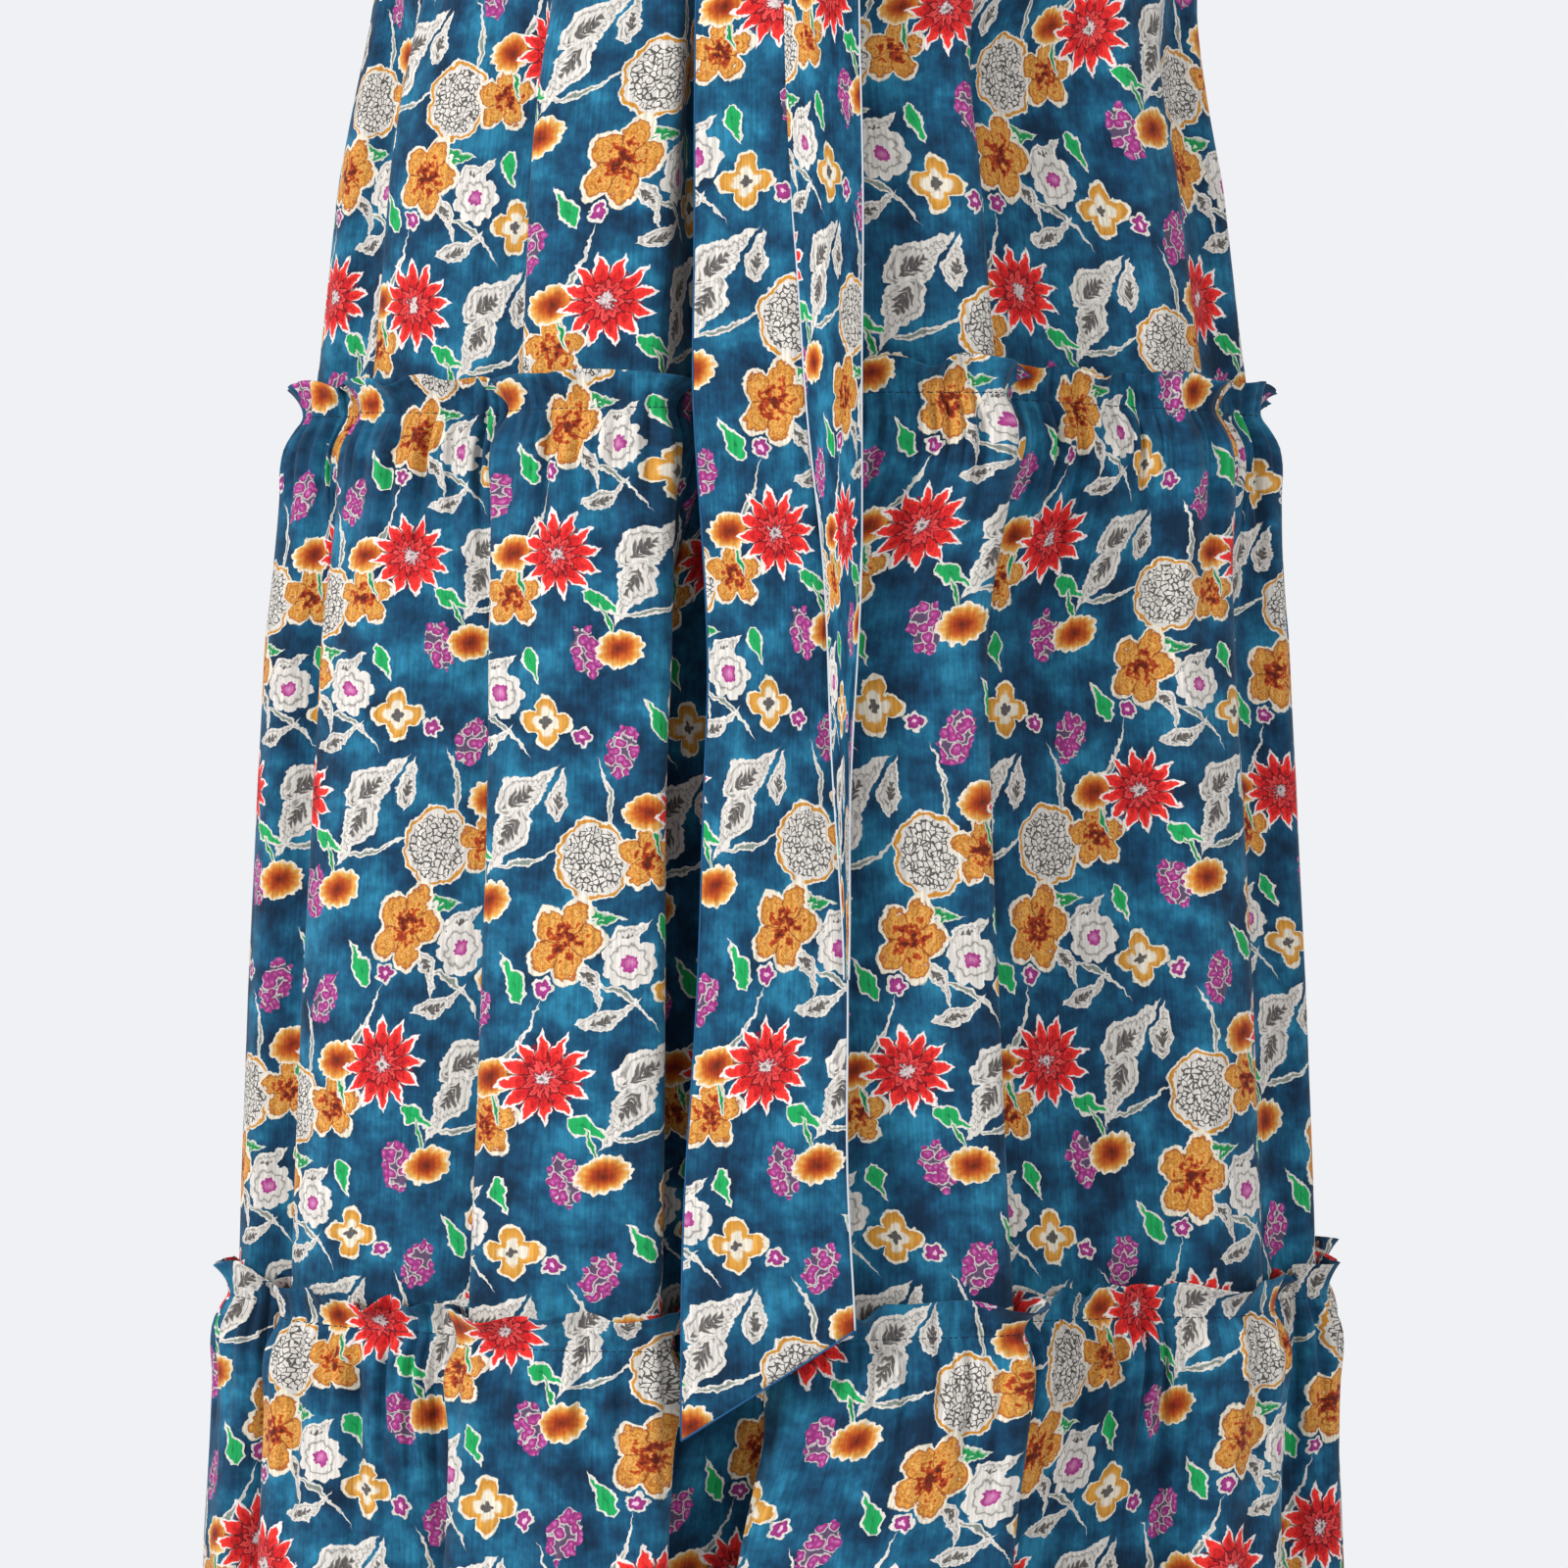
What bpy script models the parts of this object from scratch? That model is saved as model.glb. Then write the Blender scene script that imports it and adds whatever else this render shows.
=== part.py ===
"""A sleeveless tiered maxi dress in printed crinkle chiffon, held at the shoulders and filled out.

The origin is between the shoulders, +Z is up and the front faces -Y. Every piece of cloth is a thin
wall: a bodice front and back, three gathered skirt tiers, each cut as a front and a back, and a sash
made of a band round the waist, a knot and two hanging ends.
"""

import math

import bmesh
import bpy
import numpy as np

# Heights, from the shoulder line down, in metres
SHOULDER_Z = 0.0
WAIST_Z = -0.400
UPPER_SEAM_Z = -0.700
LOWER_SEAM_Z = -1.112
HEM_Z = -1.400

# Cloth
WALL = 0.0012
GAP = 0.0003
HEADING = 0.016
ALLOWANCE = 0.007
COLUMNS = 64
COLUMNS_PER_WAVE = 4
WAVE_UNEVENNESS = 0.15
FOLD_SOFTNESS = 0.0075
FOLD_STEPS = 900
TURN_CROWDING = 0.65
SEAM_LIFT = WALL + GAP + 0.0005
FRONT = -1
BACK = 1

# Flat widths of the tiers all round, before they were gathered
UPPER_CLOTH = 1.46
MIDDLE_CLOTH = 1.90
LOWER_CLOTH = 2.30

# The skirt's mean line in plan: height, half width, half depth
PLAN = [
    # z, half_width, half_depth
    (-0.400, 0.137, 0.100),
    (-0.424, 0.139, 0.102),
    (-0.450, 0.168, 0.122),
    (-0.500, 0.1975, 0.143),
    (-0.592, 0.2175, 0.157),
    (-0.660, 0.2250, 0.163),
    (-0.700, 0.2300, 0.167),
    (-0.745, 0.2390, 0.174),
    (-0.800, 0.2465, 0.181),
    (-0.874, 0.2530, 0.187),
    (-0.970, 0.2580, 0.193),
    (-1.060, 0.2615, 0.197),
    (-1.112, 0.2630, 0.199),
    (-1.160, 0.2675, 0.206),
    (-1.250, 0.2745, 0.216),
    (-1.400, 0.2850, 0.230),
]
# The skirt hangs this much to its right at both sides, as the photo shows it
SIDE_LEAN = 0.0045
SIDE_LEAN_START = 0.08

# The line just under the sash, above which the cloth has gathers but no folds
BAND_LINE = PLAN[1]

# The folds, as runs of cloth in order along a tier: the run's length in mm, and how far it leans
# out (+) or in (-) from the line of the waist, in degrees. Past 90 the cloth folds back on itself.
FRONT_FOLDS = [
    # run_mm, lean_deg: from the left side seam to the right one
    (20, 0), (22, 60), (25, 0), (22, -60), (48, -3), (30, 105),
    (22, 5), (58, -14), (25, -5), (27, 105),
    (38, 5), (36, -5), (44, -108), (56, -2), (32, 100),
    (44, 5), (44, 1), (36, -106), (46, -4), (46, 8),
    (22, 50), (30, 0), (28, -45), (20, 0), (22, 45), (22, -40), (40, 0),
]
BACK_FOLDS = [
    # run_mm, lean_deg: from the right side seam to the left one
    (24, 0), (24, 55), (34, 0), (24, -55), (40, 0), (34, 98),
    (60, 0), (34, -98), (44, 2), (28, 78), (40, -3), (30, -75),
    (52, 0), (36, 102), (66, -2), (34, -100), (38, -2), (34, 95),
    (56, 0), (34, -95), (30, 0), (22, 50), (24, 0), (22, -50), (26, 0),
]

# How much lower the front hangs between its side seams than at them
FRONT_DROOP = [
    # share_of_half_ring, drop_m
    (0.00, 0.000),
    (0.15, 0.004),
    (0.30, 0.009),
    (0.48, 0.009),
    (0.56, 0.002),
    (0.66, 0.001),
    (0.80, 0.003),
    (1.00, 0.000),
]

# Where each tier's rows lie, and how far its small gathers stand out there
UPPER_ROWS = [
    # z, wave_m
    (WAIST_Z - GAP / 2, 0.0024),
    (-0.424, 0.0026),
    (-0.450, 0.0045),
    (-0.485, 0.0035),
    (-0.550, 0.0015),
    (-0.640, 0.0),
    (UPPER_SEAM_Z - ALLOWANCE, 0.0),
]
MIDDLE_ROWS = [
    # z, wave_m
    (UPPER_SEAM_Z + HEADING, 0.0085),
    (UPPER_SEAM_Z, 0.0038),
    (-0.722, 0.0062),
    (-0.775, 0.0035),
    (-0.860, 0.0),
    (-0.985, 0.0),
    (LOWER_SEAM_Z - ALLOWANCE, 0.0),
]
LOWER_ROWS = [
    # z, wave_m
    (LOWER_SEAM_Z + HEADING, 0.0085),
    (LOWER_SEAM_Z, 0.0038),
    (-1.135, 0.0062),
    (-1.190, 0.0035),
    (-1.275, 0.0),
    (HEM_Z, 0.0),
]

# Bodice
BODICE_COLUMNS = 32
BODICE_PLAN = [
    # z, half_width, half_depth
    (-0.425, 0.137, 0.100),
    (-0.366, 0.137, 0.100),
    (-0.335, 0.160, 0.117),
    (-0.280, 0.170, 0.124),
    (-0.200, 0.174, 0.122),
    (-0.100, 0.172, 0.112),
    (0.000, 0.168, 0.100),
]
# The top edge of each half of a bodice panel, from the underarm to the middle of the neck, and how
# far round from the middle its columns reach the waist
BODICE_TOP = [
    # share_of_columns, x, z_front, z_back, waist_turn_deg
    (0.0000, 0.174, -0.205, -0.205, 90),
    (0.0625, 0.160, -0.176, -0.174, 74),
    (0.1250, 0.137, -0.106, -0.102, 56),
    (0.1875, 0.116, -0.015, -0.015, 38),
    (0.2500, 0.074, 0.000, 0.000, 32),
    (0.3125, 0.069, -0.045, -0.018, 24),
    (0.3750, 0.056, -0.088, -0.033, 16),
    (0.4375, 0.031, -0.112, -0.042, 8),
    (0.5000, 0.000, -0.120, -0.045, 0),
]
SHOULDER_TIP = BODICE_TOP[3]
NECK_POINT = BODICE_TOP[4]
BODICE_ROWS = [0.0, 0.05, 0.14, 0.30, 0.50, 0.70, 0.84, 0.92, 1.0]
BODICE_GATHER = 0.0034
SHOULDER_ROUND = 0.085

# Sash
BAND_HALF_HEIGHT = 0.020
BAND_WALL = 0.0024
BAND_STAND_OFF = 0.0066
BAND_COLUMNS = 48
BAND_BULGE = 0.0012
KNOT_WIDTH = 0.050
KNOT_DEPTH = 0.026
KNOT_HEIGHT = 0.052
KNOT_SWELL = 0.10
KNOT_SIDE_POWER = 0.8
KNOT_TOP_POWER = 0.85
SASH_CLEARANCE = 0.002
LAY_GAP = 0.0006
END_TOP_Z = WAIST_Z - KNOT_HEIGHT / 2 - GAP
SASH_COLUMNS = 6
SASH_REACH = 0.055
SASH_REACH_HEIGHT = 0.075
SLANT_SHARPNESS = 6
OVER_END_WALL = 0.0016
# The long end: its left and right edges as seen from the front, and how far its middle bows out
UNDER_END = [
    # z, left_x, right_x, bow
    (END_TOP_Z, -0.014, 0.010, 0.000),
    (-0.455, -0.027, 0.020, 0.006),
    (-0.500, -0.037, 0.028, 0.005),
    (-0.600, -0.038, 0.030, 0.004),
    (-0.703, -0.038, 0.030, 0.003),
    (-0.770, -0.034, 0.029, 0.003),
    (-0.830, -0.031, 0.028, 0.003),
    (-0.890, -0.033, 0.028, 0.003),
    (-0.960, -0.037, 0.028, 0.003),
    (-1.030, -0.0405, 0.029, 0.003),
    (-1.107, -0.0435, 0.031, 0.003),
]
UNDER_END_TAIL = 0.047
# The short end, which lies on the long one and narrows to a slanted tip
OVER_END = [
    # z, left_x, right_x, bow
    (END_TOP_Z, -0.008, 0.014, 0.000),
    (-0.455, -0.006, 0.027, 0.005),
    (-0.500, -0.001, 0.034, 0.004),
    (-0.593, 0.002, 0.0355, 0.003),
    (-0.662, 0.008, 0.0355, 0.003),
    (-0.723, 0.0125, 0.0355, 0.003),
    (-0.772, 0.0175, 0.0345, 0.002),
    (-0.830, 0.0208, 0.0325, 0.0015),
    (-0.895, 0.0245, 0.0300, 0.001),
    (-0.958, 0.0265, 0.0282, 0.0),
]

CLOTH_COLOUR = (0.012, 0.098, 0.184, 1.0)
SASH_COLOUR = (0.014, 0.110, 0.205, 1.0)


def clear_scene():
    for old in list(bpy.data.objects):
        bpy.data.objects.remove(old)


def cloth_material(name, colour):
    """A matte printed cloth, shown here in its ground colour."""
    material = bpy.data.materials.new(name)
    material.use_nodes = True
    shader = material.node_tree.nodes["Principled BSDF"]
    shader.inputs["Base Color"].default_value = colour
    shader.inputs["Roughness"].default_value = 0.85
    shader.inputs["Metallic"].default_value = 0.0
    return material


def column(table, index, z):
    """One column of a table whose first column is z, read at height z."""
    rows = sorted(table)
    return float(np.interp(z, [row[0] for row in rows], [row[index] for row in rows]))


def smooth_step(x):
    x = min(1.0, max(0.0, x))
    return x * x * (3 - 2 * x)


def ring_length(half_width, half_depth):
    """The perimeter of an ellipse, by Ramanujan's formula."""
    a, b = half_width, half_depth
    return math.pi * (3 * (a + b) - math.sqrt((3 * a + b) * (a + 3 * b)))


def cloth_between_gathers(z):
    """How much of the cloth's width is left at height z once the small gathers have taken theirs up."""
    if z > BAND_LINE[0]:
        return ring_length(column(PLAN, 1, z), column(PLAN, 2, z))
    if z > UPPER_SEAM_Z:
        start, full, top, fade = ring_length(*BAND_LINE[1:]), UPPER_CLOTH, BAND_LINE[0], 0.15
    elif z > LOWER_SEAM_Z:
        start, full, top, fade = UPPER_CLOTH, MIDDLE_CLOTH, UPPER_SEAM_Z, 0.12
    else:
        start, full, top, fade = MIDDLE_CLOTH, LOWER_CLOTH, LOWER_SEAM_Z, 0.12
    return start + (full - start) * smooth_step((top - z) / fade)


def lean_along(folds):
    """The cloth's lean in radians at even steps along a half tier, with the fold edges rounded."""
    runs = np.array([run for run, _ in folds], float)
    leans = np.radians([lean for _, lean in folds])
    ends = np.cumsum(runs) / runs.sum()
    at = (np.arange(FOLD_STEPS) + 0.5) / FOLD_STEPS
    raw = leans[np.searchsorted(ends, at)]
    spread = FOLD_SOFTNESS / (MIDDLE_CLOTH / 2) * FOLD_STEPS
    reach = int(3 * spread)
    kernel = np.exp(-0.5 * (np.arange(-reach, reach + 1) / spread) ** 2)
    return np.convolve(np.pad(raw, reach), kernel / kernel.sum(), "valid")


def fold_strength(lean, share):
    """The factor on the leans at which the folded cloth spans this share of its own width."""
    low, high = 0.0, 1.25
    for _ in range(30):
        middle = (low + high) / 2
        if np.cos(lean * middle).mean() > share:
            low = middle
        else:
            high = middle
    return low


def column_shares(lean):
    """Where the columns lie along a half tier: closer together where the cloth turns."""
    turning = np.abs(np.gradient(lean))
    crowding = 1 + TURN_CROWDING * turning / turning.mean()
    run = np.concatenate([[0.0], np.cumsum(crowding)])
    return np.interp(np.linspace(0, run[-1], COLUMNS + 1), run, np.linspace(0, 1, len(run)))


def folded_half(lean, z):
    """The folded line of a half tier at height z: shares of the half ring, and how far out it lies."""
    half_ring = ring_length(column(PLAN, 1, z), column(PLAN, 2, z)) / 2
    cloth = cloth_between_gathers(z) / 2
    angle = lean * fold_strength(lean, min(1.0, half_ring / cloth))
    along = np.concatenate([[0.0], np.cumsum(np.cos(angle))]) * cloth / FOLD_STEPS
    out = np.concatenate([[0.0], np.cumsum(np.sin(angle))]) * cloth / FOLD_STEPS
    out -= out[-1] * np.linspace(0, 1, len(out))
    return along / along[-1], out


def ring_points(z, side, share, out):
    """Points round half the mean line at height z, by their share of its length, moved out."""
    half_width, half_depth = column(PLAN, 1, z), column(PLAN, 2, z)
    angle = np.linspace(-math.pi / 2, math.pi / 2, 400)
    x, y = half_width * np.sin(angle), half_depth * np.cos(angle)
    length = np.concatenate([[0.0], np.cumsum(np.hypot(np.diff(x), np.diff(y)))])
    turn = np.interp(share, length / length[-1], angle)
    x, y = half_width * np.sin(turn), half_depth * np.cos(turn)
    normal_x, normal_y = x / half_width**2, y / half_depth**2
    size = np.hypot(normal_x, normal_y)
    x, y = x + out * normal_x / size, y + out * normal_y / size
    if side == BACK:
        x = -x
    lean = SIDE_LEAN * smooth_step((BAND_LINE[0] - z) / SIDE_LEAN_START)
    return x + lean * (x / half_width) ** 2, side * y


def skirt_section(side, z, leans, columns):
    """The folded cloth's line in plan at height z, on the front or the back: x, y and ring shares."""
    level = sum(folded_half(leans[s], z)[1].mean() for s in (FRONT, BACK)) / 2
    along, out = folded_half(leans[side], z)
    cloth = np.linspace(0, 1, len(out))
    share = np.interp(columns[side], cloth, along)
    x, y = ring_points(z, side, share, np.interp(columns[side], cloth, out) - level)
    return x, y, share


def gather_waves(height, x, y):
    """Small gathers as outward waves, one for each few columns, flatter where the cloth turns inwards."""
    index = np.arange(COLUMNS + 1)
    wave = (1 - np.cos(2 * math.pi * index / COLUMNS_PER_WAVE)) / 2
    uneven = 1 + WAVE_UNEVENNESS * (np.sin(index * 1.7 + 0.6) * np.cos(index * 0.43) - 1)
    turn = np.unwrap(np.arctan2(np.gradient(y), np.gradient(x)))
    inward = np.clip(-np.gradient(turn), 0, 0.6)
    return height * wave * uneven * (1 - inward)


def lift_over_seam(z, seam_z):
    """How far a tier's top stands out from the one above, which ends just below the stitched line."""
    if seam_z is None:
        return 0.0
    return SEAM_LIFT * (1 - smooth_step((seam_z - ALLOWANCE - 0.005 - z) / 0.030))


def droop(side, share, z):
    """How much lower the cloth hangs at a share of the half ring, than the level that its row names."""
    if side == BACK:
        return np.zeros(len(share))
    here = column([(WAIST_Z, 0.0), (UPPER_SEAM_Z, 1.0), (LOWER_SEAM_Z, 0.6), (HEM_Z, 0.3)], 1, z)
    shares = [row[0] for row in FRONT_DROOP]
    return here * np.interp(share, shares, [row[1] for row in FRONT_DROOP])


def tier_grid(side, rows, seam_z, leans, columns):
    """The mid surface of one panel of a tier, row by row from its top edge down."""
    grid = []
    for z, wave in rows:
        x, y, share = skirt_section(side, z, leans, columns)
        tangent_x, tangent_y = np.gradient(x), np.gradient(y)
        size = np.hypot(tangent_x, tangent_y)
        lift = lift_over_seam(z, seam_z)
        out = (lift + gather_waves(wave, x, y)) / size
        out[[0, -1]] = lift / size[[0, -1]]
        row = np.stack([x + tangent_y * out, y - tangent_x * out, z - droop(side, share, z)], axis=1)
        row[[0, -1], 1] = side * GAP / 2
        grid.append(row)
    return np.array(grid)


def grid_normals(grid, closed, square, level_rows):
    """Unit normals of a grid of points, rows from the top down, pointing out of the garment.

    Where an edge is cut square to a seam they lie in the seam's plane, so that walls meet edge to edge.
    """
    ring = np.concatenate([grid, grid[:, :1]], axis=1) if closed else grid
    cells = np.cross(ring[1:, 1:] - ring[:-1, :-1], ring[:-1, 1:] - ring[1:, :-1])
    cells /= np.linalg.norm(cells, axis=2, keepdims=True)
    normal = np.zeros_like(ring)
    for down in (0, 1):
        for on in (0, 1):
            normal[down : down + cells.shape[0], on : on + cells.shape[1]] += cells
    if closed:
        normal[:, 0] += normal[:, -1]
        normal = normal[:, :-1]
    if square is not None:
        normal[square, 1] = 0.0
    for row in level_rows:
        normal[row, :, 2] = 0.0
    return normal / np.linalg.norm(normal, axis=2, keepdims=True)


def wall(name, grid, thickness, material, closed=False, square=None, level_rows=()):
    """A closed wall of even thickness about a grid of points. Its columns run round when closed.

    Both skins split each cell along the same, shorter diagonal, so that they never cross.
    """
    normal = grid_normals(grid, closed, square, level_rows)
    rows, columns = grid.shape[:2]
    mesh = bmesh.new()
    skins = []
    for offset in (thickness / 2, -thickness / 2):
        points = grid + normal * offset
        skins.append([[mesh.verts.new(points[r, c]) for c in range(columns)] for r in range(rows)])
    outer, inner = skins
    for c in range(columns if closed else columns - 1):
        n = (c + 1) % columns
        for r in range(rows - 1):
            corners = [(r, c), (r + 1, c), (r + 1, n), (r, n)]
            falling = np.linalg.norm(grid[r, c] - grid[r + 1, n])
            rising = np.linalg.norm(grid[r + 1, c] - grid[r, n])
            if rising < falling:
                corners = corners[1:] + corners[:1]
            one, two, three, four = corners
            for tri in ((one, two, three), (one, three, four)):
                mesh.faces.new([outer[i][j] for i, j in tri])
                mesh.faces.new([inner[i][j] for i, j in reversed(tri)])
        mesh.faces.new((outer[0][c], outer[0][n], inner[0][n], inner[0][c]))
        mesh.faces.new((outer[-1][c], inner[-1][c], inner[-1][n], outer[-1][n]))
    if not closed:
        for r in range(rows - 1):
            mesh.faces.new((outer[r][0], inner[r][0], inner[r + 1][0], outer[r + 1][0]))
            mesh.faces.new((outer[r][-1], outer[r + 1][-1], inner[r + 1][-1], inner[r][-1]))
    return finish_object(name, mesh, material)


def finish_object(name, mesh, material):
    """Triangulates a bmesh, turns its faces out and links it as a smooth-shaded object."""
    bmesh.ops.triangulate(mesh, faces=mesh.faces[:])
    bmesh.ops.recalc_face_normals(mesh, faces=mesh.faces[:])
    data = bpy.data.meshes.new(name)
    mesh.to_mesh(data)
    mesh.free()
    data.shade_smooth()
    data.set_sharp_from_angle(angle=math.radians(50))
    data.materials.append(material)
    made = bpy.data.objects.new(name, data)
    bpy.context.scene.collection.objects.link(made)
    return made


def bodice_top(share, side):
    """Where a column of a bodice panel starts, and where it ends round the waist: x, z, turn."""
    at = min(share, 1 - share)
    shares = [row[0] for row in BODICE_TOP]
    x = float(np.interp(at, shares, [row[1] for row in BODICE_TOP]))
    z = float(np.interp(at, shares, [row[2 if side == FRONT else 3] for row in BODICE_TOP]))
    turn = math.radians(float(np.interp(at, shares, [row[4] for row in BODICE_TOP])))
    return (-x, z, -turn) if share <= 0.5 else (x, z, turn)


def shoulder_line(x):
    """The height of the shoulder seam at x."""
    slope = (NECK_POINT[2] - SHOULDER_TIP[2]) / (SHOULDER_TIP[1] - NECK_POINT[1])
    return SHOULDER_Z - max(0.0, abs(x) - NECK_POINT[1]) * slope


def bodice_depth(x, z):
    """How far the bodice lies from the plane of its side seams: an oval that closes over the shoulders."""
    across = min(1.0, abs(x) / column(BODICE_PLAN, 1, z))
    depth = column(BODICE_PLAN, 2, z) * math.sqrt(max(0.0, 1 - across**2.1))
    below = min(1.0, max(0.0, shoulder_line(x) - z) / SHOULDER_ROUND)
    return max(GAP / 2, depth * math.sqrt(1 - (1 - below) ** 2))


def bodice_grid(side):
    """The mid surface of the bodice's front or back, row by row from its top edge down."""
    index = np.arange(BODICE_COLUMNS + 1)
    wave = (1 - np.cos(2 * math.pi * index / COLUMNS_PER_WAVE)) / 2 * BODICE_GATHER
    waist = WAIST_Z + GAP / 2
    grid = []
    for height in BODICE_ROWS:
        gather = wave * smooth_step((height - 0.5) / 0.4) * (0.7 if height == 1.0 else 1.0)
        row = []
        for c in index:
            top_x, top_z, turn = bodice_top(c / BODICE_COLUMNS, side)
            z = top_z + (waist - top_z) * height
            top_across = top_x / column(BODICE_PLAN, 1, top_z)
            across = math.sin(turn) + (top_across - math.sin(turn)) * (1 - height) ** 1.5
            x = column(BODICE_PLAN, 1, z) * across
            y = side * bodice_depth(x, z)
            size = math.hypot(x, y)
            row.append((x * (1 + gather[c] / size), y * (1 + gather[c] / size), z))
        grid.append(row)
    return np.array(grid)


def bodice_seams(side):
    """Which points of a bodice panel's grid lie on a seam whose edge is cut square in y."""
    rows, columns = len(BODICE_ROWS), BODICE_COLUMNS + 1
    square = np.zeros((rows, columns), bool)
    square[:, [0, -1]] = True
    for c in range(columns):
        at = min(c, columns - 1 - c) / BODICE_COLUMNS
        square[0, c] |= SHOULDER_TIP[0] <= at <= NECK_POINT[0]
    return square


def make_bodice(side, word, material):
    grid = bodice_grid(side)
    if side == BACK:
        grid = grid[:, ::-1]
    wall(f"bodice_{word}", grid, WALL, material, square=bodice_seams(side), level_rows=(-1,))


def make_skirt(material):
    """The three tiers, front and back. Returns every point of their mid surfaces."""
    leans = {FRONT: lean_along(FRONT_FOLDS), BACK: lean_along(BACK_FOLDS)}
    columns = {side: column_shares(leans[side]) for side in leans}
    points = []
    for tier, rows, seam_z in (
        ("upper_tier", UPPER_ROWS, None),
        ("middle_tier", MIDDLE_ROWS, UPPER_SEAM_Z),
        ("lower_tier", LOWER_ROWS, LOWER_SEAM_Z),
    ):
        for side, word in ((FRONT, "front"), (BACK, "back")):
            grid = tier_grid(side, rows, seam_z, leans, columns)
            ends = np.zeros(grid.shape[:2], bool)
            ends[:, [0, -1]] = True
            wall(f"{tier}_{word}", grid, WALL, material, square=ends, level_rows=(0, -1))
            points.append(grid.reshape(-1, 3))
    return np.concatenate(points)


def make_band(material):
    """The stretch of sash round the waist: a soft oval tube with its edges drawn in a little."""
    turn = np.linspace(0, 2 * math.pi, BAND_COLUMNS, endpoint=False)
    half_width, half_depth = BODICE_PLAN[0][1] + BAND_STAND_OFF, BODICE_PLAN[0][2] + BAND_STAND_OFF
    grid = []
    for share in (1.0, 0.5, -0.5, -1.0):
        bulge = BAND_BULGE * (1 - share**2)
        z = WAIST_Z + BAND_HALF_HEIGHT * share
        row = [((half_width + bulge) * math.sin(t), -(half_depth + bulge) * math.cos(t), z) for t in turn]
        grid.append(row)
    wall("sash_band", np.array(grid), BAND_WALL, material, closed=True, level_rows=(0, -1))


def make_knot(material):
    """The knot: a rounded wrap, just clear of the band. Returns how far out its middle lies."""
    mesh = bmesh.new()
    bmesh.ops.create_uvsphere(mesh, u_segments=20, v_segments=12, radius=1.0)
    front = BODICE_PLAN[0][2] + BAND_STAND_OFF + BAND_WALL / 2 + BAND_BULGE
    for vert in mesh.verts:
        x, y, z = vert.co
        swell = 1 + KNOT_SWELL * math.cos(3.0 * x + 1.2 * z)
        vert.co.x = KNOT_WIDTH / 2 * swell * math.copysign(abs(x) ** KNOT_SIDE_POWER, x)
        vert.co.y = KNOT_DEPTH / 2 * swell * math.copysign(abs(y) ** KNOT_SIDE_POWER, y)
        vert.co.z = WAIST_Z + KNOT_HEIGHT / 2 * math.copysign(abs(z) ** KNOT_TOP_POWER, z)
    back = max(vert.co.y + front + bulge_of_band(vert.co.x) for vert in mesh.verts)
    for vert in mesh.verts:
        vert.co.y -= back + GAP
    finish_object("sash_knot", mesh, material)
    return back + GAP


def bulge_of_band(x):
    """How much nearer the waist's axis the band's face is at x than at its front (a negative number)."""
    half_width, half_depth = BODICE_PLAN[0][1], BODICE_PLAN[0][2]
    return -half_depth * (1 - math.sqrt(max(0.0, 1 - (x / half_width) ** 2)))


def front_reach(points, heights):
    """How far out the skirt's front stands behind the sash at each height, as a line without hollows."""
    near = points[(np.abs(points[:, 0]) < SASH_REACH) & (points[:, 1] < 0)]
    reach = []
    for z in heights:
        close = near[np.abs(near[:, 2] - z) < SASH_REACH_HEIGHT]
        reach.append(-close[:, 1].min())
    return np.array(reach)


def sash_end(name, rows, reach, thickness, tail, material):
    """A hanging end of the sash: a wall across its width, bowed out, with a slanted lower edge."""
    across = np.linspace(0, 1, SASH_COLUMNS + 1)
    grid = []
    for r, (z, left, right, bow) in enumerate(rows):
        slant = tail * (1 - across) * (r / (len(rows) - 1)) ** SLANT_SHARPNESS
        out = reach[r] + bow * (1 - (2 * across - 1) ** 2)
        grid.append(np.stack([left + (right - left) * across, -out, z - slant], axis=1))
    wall(name, np.array(grid), thickness, material)


def make_sash_ends(skirt_points, knot_middle, material):
    """The two hanging ends, the short one laid on the long one, both just clear of the skirt."""
    heights = [row[0] for row in UNDER_END]
    reach = front_reach(skirt_points, heights) + WALL + SASH_CLEARANCE
    reach[0] = knot_middle
    reach = np.maximum(reach, knot_middle)
    sash_end("sash_end_under", UNDER_END, reach, WALL, UNDER_END_TAIL, material)
    face = reach + np.array([row[3] for row in UNDER_END]) + WALL / 2
    down = [-z for z in heights]
    over = np.interp([-row[0] for row in OVER_END], down, face) + OVER_END_WALL / 2 + LAY_GAP
    sash_end("sash_end_over", OVER_END, over, OVER_END_WALL, 0.0, material)


def main():
    clear_scene()
    cloth = cloth_material("printed_crepe", CLOTH_COLOUR)
    sash = cloth_material("printed_crepe_sash", SASH_COLOUR)
    make_bodice(FRONT, "front", cloth)
    make_bodice(BACK, "back", cloth)
    skirt_points = make_skirt(cloth)
    make_band(sash)
    knot_middle = make_knot(sash)
    make_sash_ends(skirt_points, knot_middle, sash)


main()
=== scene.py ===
"""Looks of a sleeveless tiered maxi dress in printed crinkle chiffon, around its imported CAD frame."""

import math

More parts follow.
